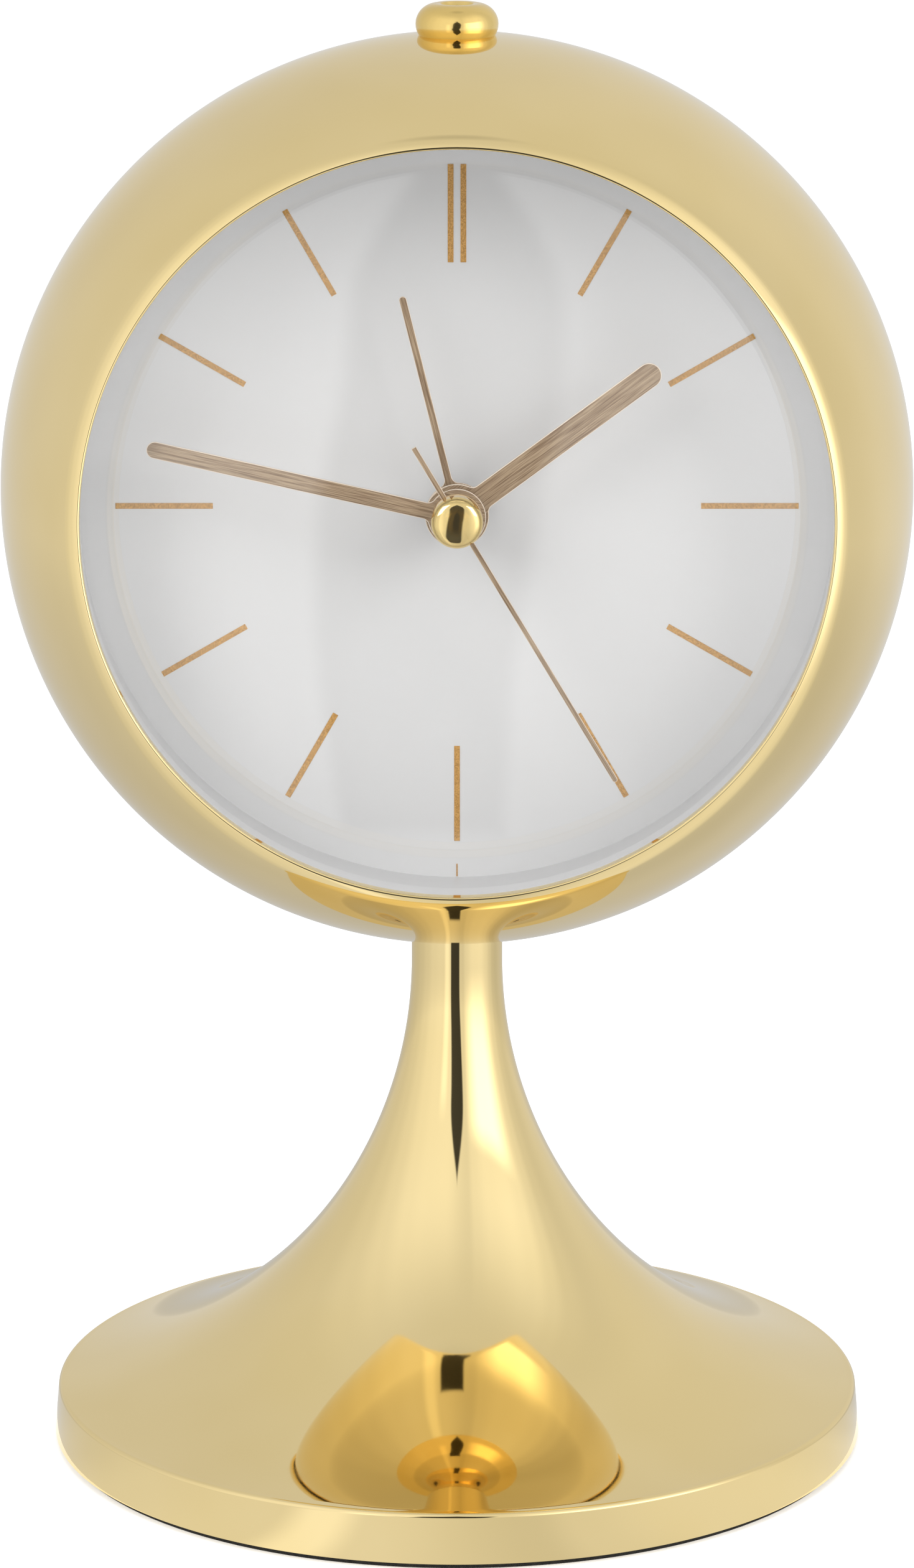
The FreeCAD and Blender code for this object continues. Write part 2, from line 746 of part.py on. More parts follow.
def hand(label, plane, hub_radius, long, wide, bore, turn):
    """Pressed hand: hub, blade, and the collet that grips its tube."""
    body = new_body(label)
    pad(body, label + "_hub", [("0", "0", hub_radius)], plane, "hand_thick")
    blade = pad(body, label + "_blade", [blade_loop(long, wide, "0")], plane, "hand_thick")
    soften_root(body, blade, hub_radius, wide, plane)
    collet_floor = "%s - collet_long" % plane
    pad(body, label + "_collet", [("0", "0", "%s + collet_wall" % bore)], collet_floor, "collet_long")
    pocket(body, label + "_bore", [("0", "0", bore)], plane + " + hand_thick", "hand_thick + collet_long")
    on_face(body, turn)


def hands():
    hand("alarm_hand", ALARM_PLANE, "alarm_hub_radius", "alarm_hand_long", "alarm_hand_wide",
         ALARM_TUBE, size("alarm_hand_angle"))
    hand("hour_hand", HOUR_PLANE, "hour_hub_radius", "hour_hand_long", "hour_hand_wide",
         HOUR_TUBE, size("hour_hand_angle"))
    hand("minute_hand", MINUTE_PLANE, "minute_hub_radius", "minute_hand_long", "minute_hand_wide",
         CANNON_TUBE, size("minute_hand_angle"))
    body = new_body("second_hand")
    half = "(second_hand_wide / 2)"
    sweep = blade_loop("second_hand_long", "second_hand_wide", "-second_hand_tail")
    pad(body, "second_hand_blade", [sweep], SECOND_PLANE, "hand_thick")
    pad(body, "second_hand_hub", [("0", "0", "second_hub_radius")], SECOND_PLANE, "hand_thick")
    collet_floor = SECOND_PLANE + " - collet_long"
    pad(body, "second_hand_collet", [("0", "0", "second_arbor_radius + collet_wall")],
        collet_floor, "collet_long")
    bore_top = SECOND_PLANE + " + hand_thick"
    pocket(body, "second_hand_bore", [("0", "0", "second_arbor_radius")],
           bore_top, "hand_thick + collet_long")
    on_face(body, size("second_hand_angle"))
    cap_floor = "(%s + hand_thick)" % SECOND_PLANE
    dome = "((cap_radius^2 + cap_rise^2) / (2 * cap_rise))"
    on_face(turned("hand_cap", [
        ("second_arbor_radius", cap_floor),
        ("cap_radius", cap_floor),
        ("cap_radius", cap_floor + " + cap_skirt", dome, 1),
        ("0", cap_floor + " + cap_skirt + cap_rise"),
        ("0", cap_floor + " + cap_skirt"),
        ("second_arbor_radius", cap_floor + " + cap_skirt"),
    ]))


# Places of the arbors across the movement, as (across, up) from the hands' axis
SECONDS_REACH = "(seconds_module * %d / 2)" % (FIFTH_LEAVES + SECOND_TEETH)
ROTOR_REACH = "(seconds_module * %d / 2)" % (ROTOR_LEAVES + FIFTH_TEETH)
THIRD_REACH = "(third_module * %d / 2)" % (SECOND_LEAVES + THIRD_TEETH)
TIME_REACH = "(motion_module * %d / 2)" % (CANNON_LEAVES + MINUTE_TEETH)
ALARM_REACH = "(alarm_module * %d / 2)" % (ALARM_LEAVES + ALARM_TEETH)
CENTRE = ("0", "0")
FIFTH = ("%s * cos(fifth_direction)" % SECONDS_REACH, "%s * sin(fifth_direction)" % SECONDS_REACH)
ROTOR = ("(%s - %s)" % (FIFTH[0], ROTOR_REACH), FIFTH[1])
THIRD = ("%s * cos(third_direction)" % THIRD_REACH, "%s * sin(third_direction)" % THIRD_REACH)
TIME = ("-sqrt(%s^2 - knob_height^2)" % TIME_REACH, "knob_height")
ALARM = ("sqrt(%s^2 - knob_height^2)" % ALARM_REACH, "knob_height")

# Height of each wheel's back, from the ball's centre
ALARM_LAYER = "(%s - alarm_wheel_depth - wheel_thick)" % DIAL_BACK
HOUR_LAYER = "(%s - hour_wheel_depth - wheel_thick)" % DIAL_BACK
MINUTE_LAYER = "(%s - minute_wheel_depth - wheel_thick)" % DIAL_BACK
CENTRE_LAYER = "(%s - centre_wheel_depth - wheel_thick)" % DIAL_BACK
THIRD_LAYER = "(%s - third_wheel_depth - wheel_thick)" % DIAL_BACK
SECOND_LAYER = "(%s - second_wheel_depth - wheel_thick)" % DIAL_BACK
FIFTH_LAYER = "(%s - fifth_wheel_depth - wheel_thick)" % DIAL_BACK
PIVOT_END = "(%s - pivot_depth + pivot_clear)" % BACK_INSIDE
FRONT_PIVOT_END = "(%s + pivot_depth - pivot_clear)" % FRONT_INSIDE
SET_TAIL = "(%s - stem_gap - stem_socket + seat_gap)" % MOVEMENT_BACK
SWITCH_AXIS = "(movement_side / 2 * tan(face_lean))"
POST_SPOT = "(movement_side / 2 - corner_post_inset)"


def toothed(teeth, module, toward, layer, thick, on_gap):
    """Flat toothed disc with a tooth, or a gap, facing one direction."""
    tip = module * (teeth / 2 + TIP_SHARE)
    root = module * (teeth / 2 - ROOT_SHARE)
    half_pitch = math.pi / teeth
    start = math.radians(toward) + (half_pitch if on_gap else 0)
    points = []
    for step in range(2 * teeth + 1):
        angle = start + step * half_pitch
        reach = root if step % 2 else tip
        points.append(Vector(reach * math.cos(angle), reach * math.sin(angle), layer))
    return Part.Face(Part.makePolygon(points)).extrude(Vector(0, 0, thick))


def wheel_disc(teeth, module, toward, layer):
    """Wheel with a gap toward the pinion that drives it."""
    return toothed(teeth, module, toward, size(layer), size("wheel_thick"), True)


def leaves(teeth, module, toward, layer):
    """Pinion with a leaf toward its wheel, centred on the wheel's layer and a little thicker."""
    floor = size("%s + wheel_thick / 2 - pinion_thick / 2" % layer)
    return toothed(teeth, module, toward, floor, size("pinion_thick"), False)


def rod(radius, floor, top):
    return Part.makeCylinder(size(radius), size("%s - %s" % (top, floor)), Vector(0, 0, size(floor)))


def bearing(start, end):
    """Direction from one arbor to another, in degrees."""
    return math.degrees(math.atan2(size(end[1]) - size(start[1]), size(end[0]) - size(start[0])))


def wheel_piece(label, spot, shapes, bore=None):
    """Fuse the discs and rods on one arbor and stand them at their place in the movement."""
    shape = shapes[0]
    for more in shapes[1:]:
        shape = shape.fuse(more)
    if bore:
        shape = shape.cut(bore)
    item = on_face(solid_node(label, shape.removeSplitter()))
    place = Placement(Vector(size(spot[0]), size(spot[1]), 0), Rotation())
    item.Placement = item.Placement.multiply(place)
    return item


def running_train():
    """Rotor to centre wheel: thirty turns of the rotor drive one turn of the second hand."""
    fine = size("seconds_module")
    magnet_floor = "(%s + wheel_thick + stator_gap)" % FIFTH_LAYER
    wheel_piece("rotor", ROTOR, [
        rod("wheel_arbor_radius", PIVOT_END, BRIDGE_FRONT),
        leaves(ROTOR_LEAVES, fine, bearing(ROTOR, FIFTH), FIFTH_LAYER),
        rod("rotor_magnet_radius", magnet_floor, "(%s + rotor_magnet_long)" % magnet_floor),
    ])
    wheel_piece("fifth_wheel", FIFTH, [
        rod("wheel_arbor_radius", PIVOT_END, BRIDGE_FRONT),
        wheel_disc(FIFTH_TEETH, fine, bearing(FIFTH, ROTOR), FIFTH_LAYER),
        leaves(FIFTH_LEAVES, fine, bearing(FIFTH, CENTRE), SECOND_LAYER),
    ])
    third_fine = size("third_module")
    arbor_top = "(%s + hand_thick + cap_skirt)" % SECOND_PLANE
    wheel_piece("second_wheel", CENTRE, [
        rod("second_arbor_radius", PIVOT_END, arbor_top),
        wheel_disc(SECOND_TEETH, fine, bearing(CENTRE, FIFTH), SECOND_LAYER),
        leaves(SECOND_LEAVES, third_fine, bearing(CENTRE, THIRD), THIRD_LAYER),
    ])
    centre_fine = size("2 * %s / %d" % (THIRD_REACH, THIRD_LEAVES + CENTRE_TEETH))
    wheel_piece("third_wheel", THIRD, [
        rod("wheel_arbor_radius", PIVOT_END, FRONT_PIVOT_END),
        wheel_disc(THIRD_TEETH, third_fine, bearing(THIRD, CENTRE), THIRD_LAYER),
        leaves(THIRD_LEAVES, centre_fine, bearing(THIRD, CENTRE), CENTRE_LAYER),
    ])
    disc = wheel_disc(CENTRE_TEETH, centre_fine, bearing(CENTRE, THIRD), CENTRE_LAYER)
    opening = rod("%s + arbor_fit" % CANNON_TUBE, CENTRE_LAYER, "(%s + wheel_thick)" % CENTRE_LAYER)
    wheel_piece("centre_wheel", CENTRE, [disc], opening)


def motion_work():
    """Cannon, minute wheel and hour wheel: twelve turns of the minute hand to one of the hour hand."""
    coarse = size("motion_module")
    foot_floor = "(%s - pivot_clear - wheel_thick)" % CENTRE_LAYER
    cannon_top = "(%s + hand_thick)" % MINUTE_PLANE
    wheel_piece("minute_cannon", CENTRE, [
        rod(CANNON_TUBE, foot_floor, cannon_top),
        rod("%s + nose_wall" % CANNON_TUBE, foot_floor, "(%s + wheel_thick)" % foot_floor),
        leaves(CANNON_LEAVES, coarse, bearing(CENTRE, TIME), MINUTE_LAYER),
    ], rod(CANNON_BORE, foot_floor, cannon_top))
    wheel_piece("minute_wheel", TIME, [
        rod("set_arbor_radius", SET_TAIL, FRONT_PIVOT_END),
        wheel_disc(MINUTE_TEETH, coarse, bearing(TIME, CENTRE), MINUTE_LAYER),
        leaves(MINUTE_LEAVES, coarse, bearing(TIME, CENTRE), HOUR_LAYER),
    ])
    hour_top = "(%s + hand_thick)" % HOUR_PLANE
    wheel_piece("hour_wheel", CENTRE, [
        rod(HOUR_TUBE, HOUR_LAYER, hour_top),
        wheel_disc(HOUR_TEETH, coarse, bearing(CENTRE, TIME), HOUR_LAYER),
    ], rod(HOUR_BORE, HOUR_LAYER, hour_top))


def alarm_work():
    """Alarm wheel on the outermost tube, turned by its own pinion."""
    coarse = size("alarm_module")
    tube_top = "(%s + hand_thick)" % ALARM_PLANE
    wheel_piece("alarm_wheel", CENTRE, [
        rod(ALARM_TUBE, ALARM_LAYER, tube_top),
        wheel_disc(ALARM_TEETH, coarse, bearing(CENTRE, ALARM), ALARM_LAYER),
    ], rod(ALARM_BORE, ALARM_LAYER, tube_top))
    wheel_piece("alarm_pinion", ALARM, [
        rod("set_arbor_radius", SET_TAIL, FRONT_PIVOT_END),
        leaves(ALARM_LEAVES, coarse, bearing(ALARM, CENTRE), ALARM_LAYER),
    ])


def corner_circles(radius):
    """Circle at each corner post."""
    spots = ((POST_SPOT, POST_SPOT), ("-" + POST_SPOT, POST_SPOT))
    more = (("-" + POST_SPOT, "-" + POST_SPOT), (POST_SPOT, "-" + POST_SPOT))
    return [(across, up, radius) for across, up in spots + more]


def hole(spot, radius):
    return (spot[0], spot[1], radius)


def movement_box():
    """Moulded front with its nose tube, the bridge between the posts, and the back plate."""
    half = "(movement_side / 2)"
    inner_half = "(movement_side / 2 - movement_wall)"
    inner_corner = "(movement_corner - movement_wall)"
    front = new_body("movement_front")
    outline = round_box_loop(half, half, "movement_corner")
    pad(front, "front_block", [outline], BACK_INSIDE, "%s - %s" % (DIAL_BACK, BACK_INSIDE))
    cavity = round_box_loop(inner_half, inner_half, inner_corner)
    pocket(front, "front_cavity", [cavity], FRONT_INSIDE, "%s - %s" % (FRONT_INSIDE, BACK_INSIDE))
    pad(front, "front_posts", corner_circles("corner_post_radius"), BRIDGE_FRONT,
        "%s - %s" % (FRONT_INSIDE, BRIDGE_FRONT))
    pad(front, "front_nose", [("0", "0", NOSE_RADIUS)], DIAL_BACK, "nose_long")
    pocket(front, "front_nose_bore", [("0", "0", NOSE_BORE)], DIAL_BACK + " + nose_long",
           "nose_long + movement_front_wall")
    pivot_top = FRONT_INSIDE + " + pivot_depth"
    pocket(front, "front_pivots", [
        hole(THIRD, "wheel_arbor_radius + arbor_fit"),
        hole(TIME, "set_arbor_radius + arbor_fit"),
        hole(ALARM, "set_arbor_radius + arbor_fit"),
    ], pivot_top, "pivot_depth")
    on_face(front)

    back = new_body("movement_back")
    pad(back, "back_plate", [outline], MOVEMENT_BACK, "movement_back_wall")
    pad(back, "back_posts", corner_circles("corner_post_radius"), BACK_INSIDE,
        "%s - %s" % (BRIDGE_BACK, BACK_INSIDE))
    pocket(back, "back_pivots", [
        hole(CENTRE, "second_arbor_radius + arbor_fit"),
        hole(ROTOR, "wheel_arbor_radius + arbor_fit"),
        hole(FIFTH, "wheel_arbor_radius + arbor_fit"),
        hole(THIRD, "wheel_arbor_radius + arbor_fit"),
    ], BACK_INSIDE, "pivot_depth")
    pocket(back, "back_set_holes", [
        hole(TIME, "set_arbor_radius + arbor_fit"),
        hole(ALARM, "set_arbor_radius + arbor_fit"),
    ], BACK_INSIDE, "movement_back_wall")
    on_face(back)

    bridge = new_body("movement_bridge")
    reach = "(movement_side / 2 - movement_wall - bridge_fit)"
    plate = round_box_loop(reach, reach, "(movement_corner - movement_wall - bridge_fit)")
    pad(bridge, "bridge_plate", [
        plate,
        hole(CENTRE, "second_arbor_radius + arbor_fit"),
        hole(ROTOR, "wheel_arbor_radius + arbor_fit"),
        hole(FIFTH, "wheel_arbor_radius + arbor_fit"),
        hole(THIRD, "wheel_arbor_radius + arbor_fit"),
        hole(TIME, "set_arbor_radius + arbor_fit"),
        hole(ALARM, "set_arbor_radius + arbor_fit"),
    ], BRIDGE_BACK, "bridge_thick")
    on_face(bridge)


def chassis():
    """Disc behind the dial, with a window for the movement and two spring arms that hold it."""
    body = new_body("chassis")
    window = "(movement_side / 2 + window_fit)"
    floor = "(%s - chassis_thick)" % DIAL_BACK
    pad(body, "chassis_disc", [
        ("0", "0", "chassis_radius"),
        round_box_loop(window, window, "movement_corner"),
    ], floor, "chassis_thick")
    outside = "(%s + snap_arm_thick)" % window
    half = "(snap_arm_wide / 2)"
    hook = "(%s - snap_hook)" % window
    tail = "(%s - snap_hook_thick)" % MOVEMENT_BACK
    pad(body, "chassis_arms", [
        box_loop(window, "-" + half, outside, half),
        box_loop("-" + outside, "-" + half, "-" + window, half),
    ], tail, "%s - %s" % (floor, tail))
    pad(body, "chassis_hooks", [
        box_loop(hook, "-" + half, outside, half),
        box_loop("-" + outside, "-" + half, "-" + hook, half),
    ], tail, "snap_hook_thick")
    on_face(body)


def box(name, left, low, floor, wide, tall, thick):
    """Plain block from its left, lower, back corner."""
    block = doc.addObject("Part::Box", name)
    for prop, text in (("Length", wide), ("Width", tall), ("Height", thick)):
        block.setExpression(prop, tied(text))
    for axis, text in (("x", left), ("y", low), ("z", floor)):
        block.setExpression("Placement.Base." + axis, tied(text))
    return block


def bar_along_y(name, radius, across, low, level, long):
    """Round bar lying up the dial's direction."""
    bar = doc.addObject("Part::Cylinder", name)
    bar.Placement = Placement(Vector(), Rotation(Vector(1, 0, 0), -90))
    bar.setExpression("Radius", tied(radius))
    bar.setExpression("Height", tied(long))
    for axis, text in (("x", across), ("y", low), ("z", level)):
        bar.setExpression("Placement.Base." + axis, tied(text))
    return bar


def bar_along_x(name, radius, left, up, level, long):
    """Round bar lying across the dial."""
    bar = doc.addObject("Part::Cylinder", name)
    bar.Placement = Placement(Vector(), Rotation(Vector(0, 1, 0), 90))
    bar.setExpression("Radius", tied(radius))
    bar.setExpression("Height", tied(long))
    for axis, text in (("x", left), ("y", up), ("z", level)):
        bar.setExpression("Placement.Base." + axis, tied(text))
    return bar


def fused(label, members):
    item = doc.addObject("Part::MultiFuse", label)
    item.Label = label
    item.Shapes = members
    item.Refine = True
    return item


def motor():
    """Stator plate round the rotor, the coil beside it, the board and the crystal can."""
    stator_floor = "(%s + wheel_thick + stator_gap + rotor_magnet_long / 2 - stator_thick / 2)" % FIFTH_LAYER
    ring = "(rotor_magnet_radius + stator_gap + stator_rim)"
    flange = "(coil_radius + coil_flange)"
    coil_across = "(movement_wall + coil_room + %s - movement_side / 2)" % flange
    left = "(%s - coil_radius)" % coil_across
    low = "(%s - %s)" % (ROTOR[1], ring)
    coil_low = "(coil_rise - coil_long)"
    leg_left = "(%s + %s + seat_gap)" % (coil_across, flange)
    leg_right = "(%s + stator_leg)" % leg_left
    top = "(coil_rise + coil_tab)"
    body = new_body("stator")
    pad(body, "stator_plate", [
        [
            (left, low),
            ("(%s + %s)" % (ROTOR[0], ring), low),
            ("(%s + %s)" % (ROTOR[0], ring), "(%s + %s)" % (ROTOR[1], ring)),
            (leg_right, "(%s + %s)" % (ROTOR[1], ring)),
            (leg_right, top),
            (left, top),
            (left, "(coil_rise + seat_gap)"),
            (leg_left, "(coil_rise + seat_gap)"),
            (leg_left, "(%s - seat_gap)" % coil_low),
            (left, "(%s - seat_gap)" % coil_low),
        ],
        hole(ROTOR, "rotor_magnet_radius + stator_gap"),
    ], stator_floor, "stator_thick")
    on_face(body)
    core_floor = "(%s - coil_core)" % stator_floor
    level = "(%s + coil_core / 2)" % core_floor
    flange_far = "(coil_rise - coil_flange)"
    coil = fused("coil", [
        bar_along_y("coil_winding", "coil_radius", coil_across, coil_low, level, "coil_long"),
        bar_along_y("coil_near_flange", flange, coil_across, coil_low, level, "coil_flange"),
        bar_along_y("coil_far_flange", flange, coil_across, flange_far, level, "coil_flange"),
        box("coil_core", "%s - coil_radius / 2" % coil_across, low, core_floor,
            "coil_radius", "%s - %s" % (top, low), "coil_core"),
    ])
    on_face(coil)
    chip_floor = "(%s + board_thick)" % BACK_INSIDE
    board = fused("circuit_board", [
        box("board_plate", "board_left", "-board_low",
            BACK_INSIDE, "board_long", "board_wide", "board_thick"),
        box("board_chip", "board_left + board_long / 2", "board_wide / 2 - board_low",
            chip_floor, "chip_side", "chip_side", "chip_thick"),
    ])
    on_face(board)
    on_face(bar_node("crystal", "crystal_radius", "board_left + crystal_radius",
                     "crystal_radius * 2 - board_low", "%s + crystal_radius" % chip_floor, "crystal_long"))


def bar_node(label, radius, left, up, level, long):
    """Round bar across the dial that is a piece of its own."""
    piece = fused(label, [
        bar_along_x(label + "_can", radius, left, up, level, long),
        bar_along_x(label + "_seal", "%s / 2" % radius, left, up, level, "%s + %s" % (long, radius)),
    ])
    return piece


# Battery bay and door, measured from the middle of the cell
BAY_HALF_LONG = "(cell_long / 2 + cell_button_long / 2 + bay_end_room)"
BAY_HALF_WIDE = "(cell_radius + bay_side_room)"
DOOR_LOW = "(-cell_drop - %s - door_lap)" % BAY_HALF_WIDE
DOOR_HIGH = "(-cell_drop + %s + door_lap)" % BAY_HALF_WIDE
DOOR_SIDE = "(%s + door_lap)" % BAY_HALF_LONG
HINGE_UP = "(%s - knuckle_reach)" % DOOR_LOW
LUG_LONG = "(door_pin_long + door_fit)"


def post_ring(radius):
    """Circle at each of the cover's three posts."""
    angles = ("15", "165", "270")
    return [("cover_post_reach * cos(%s)" % a, "cover_post_reach * sin(%s)" % a, radius) for a in angles]


def sound_holes(count):
    """One hole in the middle and a ring of holes round it."""
    holes = [("-sounder_side", "slide_height", "sound_hole_radius")]
    for step in range(count):
        angle = 360 * step / count
        holes.append((
            "sound_ring_radius * cos(%g) - sounder_side" % angle,
            "sound_ring_radius * sin(%g) + slide_height" % angle,
            "sound_hole_radius",
        ))
    return holes


def back_cover():
    """Moulded back: flange and snap rim, battery bay, posts, and openings for knobs, switch and sound."""
    body = new_body("cover_plate")
    rim = "(rear_radius - cover_fit)"
    bead_top = "(%s + cover_spigot_deep)" % COVER_FRONT
    bead_mid = "(%s - cover_bead_rise)" % bead_top
    bead_low = "(%s - 2 * cover_bead_rise)" % bead_top
    spin(body, "cover_turned", [
        ("0", COVER_BACK),
        ("(cover_flange_radius - rim_round)", COVER_BACK, "rim_round", 1),
        ("cover_flange_radius", COVER_BACK + " + rim_round"),
        ("cover_flange_radius", COVER_FRONT),
        (rim, COVER_FRONT),
        (rim, bead_low),
        ("%s + cover_bead" % rim, bead_mid),
        (rim, bead_top),
        ("%s - cover_spigot_wall" % rim, bead_top),
        ("%s - cover_spigot_wall" % rim, COVER_FRONT),
        ("0", COVER_FRONT),
    ])
    pad(body, "cover_posts", post_ring("cover_post_radius"), COVER_FRONT,
        "%s - chassis_thick - %s" % (DIAL_BACK, COVER_FRONT))
    outer_long = "(%s + bay_wall)" % BAY_HALF_LONG
    outer_low = "(-cell_drop - %s - bay_wall)" % BAY_HALF_WIDE
    outer_high = "(-cell_drop + %s + bay_wall)" % BAY_HALF_WIDE
    bay_low = "(-cell_drop - %s)" % BAY_HALF_WIDE
    bay_high = "(-cell_drop + %s)" % BAY_HALF_WIDE
    pad(body, "bay_block", [box_loop("-" + outer_long, outer_low, outer_long, outer_high)],
        COVER_FRONT, "%s + bay_wall - %s" % (BAY_FLOOR, COVER_FRONT))
    pocket(body, "bay_hollow", [box_loop("-" + BAY_HALF_LONG, bay_low, BAY_HALF_LONG, bay_high)],
           BAY_FLOOR, "%s - %s" % (BAY_FLOOR, COVER_BACK))
    recess_top = "(%s + door_thick)" % COVER_BACK
    notch = "(knuckle_half + door_fit)"
    notch_low = "(%s - knuckle_reach)" % HINGE_UP
    pocket(body, "door_recess", [[
        ("-" + DOOR_SIDE, DOOR_LOW),
        ("-" + notch, DOOR_LOW),
        ("-" + notch, notch_low),
        (notch, notch_low),
        (notch, DOOR_LOW),
        (DOOR_SIDE, DOOR_LOW),
        (DOOR_SIDE, DOOR_HIGH),
        ("-" + DOOR_SIDE, DOOR_HIGH),
    ]], recess_top, "door_thick")
    tail_half = "(contact_tail_wide / 2 + seat_gap)"
    slot_in = "(%s - contact_thick - seat_gap)" % BAY_HALF_LONG
    pocket(body, "contact_slots", [
        box_loop(slot_in, "(-cell_drop - %s)" % tail_half, BAY_HALF_LONG, "(%s - cell_drop)" % tail_half),
        box_loop("-" + BAY_HALF_LONG, "(-cell_drop - %s)" % tail_half, "-" + slot_in,
                 "(%s - cell_drop)" % tail_half),
    ], "%s + bay_wall" % BAY_FLOOR, "bay_wall")
    pocket(body, "knob_holes", [
        hole(TIME, "knob_stem_radius + stem_hole_clear"),
        hole(ALARM, "knob_stem_radius + stem_hole_clear"),
    ], COVER_FRONT, "cover_thick")
    slot_long = "(slide_long / 2 + slide_travel / 2 + slide_fit)"
    slot_wide = "(slide_wide / 2 + slide_fit)"
    pocket(body, "slide_slot", [
        box_loop("-" + slot_long, "(slide_height - %s)" % slot_wide,
                 slot_long, "(slide_height + %s)" % slot_wide),
    ], COVER_FRONT, "cover_thick")
    pocket(body, "sound_openings", sound_holes(SOUND_HOLES), COVER_FRONT, "cover_thick")
    ring_inside = "(sounder_radius + sounder_fit)"
    pad(body, "sounder_ring", [
        ("-sounder_side", "slide_height", "%s + sounder_ring" % ring_inside),
        ("-sounder_side", "slide_height", ring_inside),
    ], COVER_FRONT, "sounder_ring_tall")
    rail_long = "(%s + slide_skirt + slide_travel / 2)" % slot_long
    rail_in = "(slide_wide / 2 + slide_skirt + slide_fit)"
    rail_out = "(%s + slide_rail)" % rail_in
    pad(body, "slide_rails", [
        box_loop("-" + rail_long, "(slide_height - %s)" % rail_out,
                 rail_long, "(slide_height - %s)" % rail_in),
        box_loop("-" + rail_long, "(slide_height + %s)" % rail_in,
                 rail_long, "(slide_height + %s)" % rail_out),
    ], COVER_FRONT, "slide_skirt_thick + slide_fit")
    lug_right = "(knuckle_half + door_fit)"
    lugs = doc.addObject("Part::MultiFuse", "door_lugs")
    lugs.Shapes = [
        bar_along_x("lug_right", "knuckle_radius", lug_right, HINGE_UP, COVER_BACK, LUG_LONG),
        bar_along_x("lug_left", "knuckle_radius", "(-%s - %s)" % (lug_right, LUG_LONG), HINGE_UP,
                    COVER_BACK, LUG_LONG),
    ]
    whole = doc.addObject("Part::MultiFuse", "cover_with_lugs")
    whole.Shapes = [body, lugs]
    whole.Refine = True
    bore_half = "(%s + %s)" % (lug_right, LUG_LONG)
    bore = bar_along_x("lug_bore", "door_pin_radius + arbor_fit", "-" + bore_half, HINGE_UP,
                       COVER_BACK, "2 * %s" % bore_half)
    cover = doc.addObject("Part::Cut", "back_cover")
    cover.Label = "back_cover"
    cover.Base = whole
    cover.Tool = bore
    on_face(cover)


def battery():
    """Cell with its raised end toward the right."""
    left = "-(cell_long / 2 + cell_button_long / 2)"
    cell = fused("battery", [
        bar_along_x("cell_can", "cell_radius", left, "-cell_drop", CELL_AXIS, "cell_long"),
        bar_along_x("cell_button", "cell_button_radius", left, "-cell_drop", CELL_AXIS,
                    "cell_long + cell_button_long"),
    ])
    on_face(cell)


def battery_door():
    """Plate flush with the back, its hinge knuckle and pins at the lower edge, a rib at the upper."""
    plate_low = "(%s + door_fit)" % DOOR_LOW
    plate_side = "(%s - door_fit)" % DOOR_SIDE
    bay_high = "(-cell_drop + %s)" % BAY_HALF_WIDE
    rib_high = "(%s - door_rib_fit)" % bay_high
    rib_floor = "(%s + door_thick)" % COVER_BACK
    pin_half = "(knuckle_half + door_pin_long)"
    door = fused("battery_door", [
        box("door_plate", "-" + plate_side, plate_low, COVER_BACK, "2 * %s" % plate_side,
            "%s - door_fit - %s" % (DOOR_HIGH, plate_low), "door_thick"),
        box("door_web", "-knuckle_half", HINGE_UP, COVER_BACK, "2 * knuckle_half",
            "%s - %s" % (plate_low, HINGE_UP), "door_thick - seat_gap"),
        bar_along_x("door_knuckle", "knuckle_radius", "-knuckle_half", HINGE_UP, COVER_BACK,
                    "2 * knuckle_half"),
        bar_along_x("door_pins", "door_pin_radius", "-" + pin_half, HINGE_UP, COVER_BACK,
                    "2 * %s" % pin_half),
        box("door_rib", "-door_rib_wide / 2", "%s - door_rib_thick" % rib_high, rib_floor,
            "door_rib_wide", "door_rib_thick", "door_rib_long"),
    ])
    on_face(door)


def contact(label, side):
    """Bent strip: a tongue against the cell, a leg on the bay's end, a tail to the movement."""
    wall = "(%s * %d)" % (BAY_HALF_LONG, side)
    inside = "((%s - contact_thick) * %d)" % (BAY_HALF_LONG, side)
    cell_end = "((%s - bay_end_room) * %d)" % (BAY_HALF_LONG, side)
    tongue_back = "((%s - bay_end_room + contact_thick) * %d)" % (BAY_HALF_LONG, side)
    tab_end = "((%s - contact_thick - contact_tab_long) * %d)" % (BAY_HALF_LONG, side)
    half = "(contact_wide / 2)"
    top = "(%s)" % MOVEMENT_BACK
    leg_floor = "(%s - cell_radius)" % CELL_AXIS
    blades = []
    pieces = (
        ("leg", inside, wall, leg_floor, BAY_FLOOR, half),
        ("foot", cell_end, wall, leg_floor, "(%s + contact_thick)" % leg_floor, half),
        ("tongue", cell_end, tongue_back, leg_floor, "(%s + cell_button_radius)" % CELL_AXIS, half),
        ("tail", inside, wall, BAY_FLOOR, top, "(contact_tail_wide / 2)"),
        ("tab", tab_end, wall, "(%s - contact_thick)" % top, top, "(contact_tail_wide / 2)"),
    )
    for name, one, other, floor, ceiling, reach in pieces:
        near, far = (one, other) if side > 0 else (other, one)
        blades.append(box("%s_%s" % (label, name), near, "(-cell_drop - %s)" % reach, floor,
                          "%s - %s" % (far, near), "2 * %s" % reach, "%s - %s" % (ceiling, floor)))
    on_face(fused(label, blades))


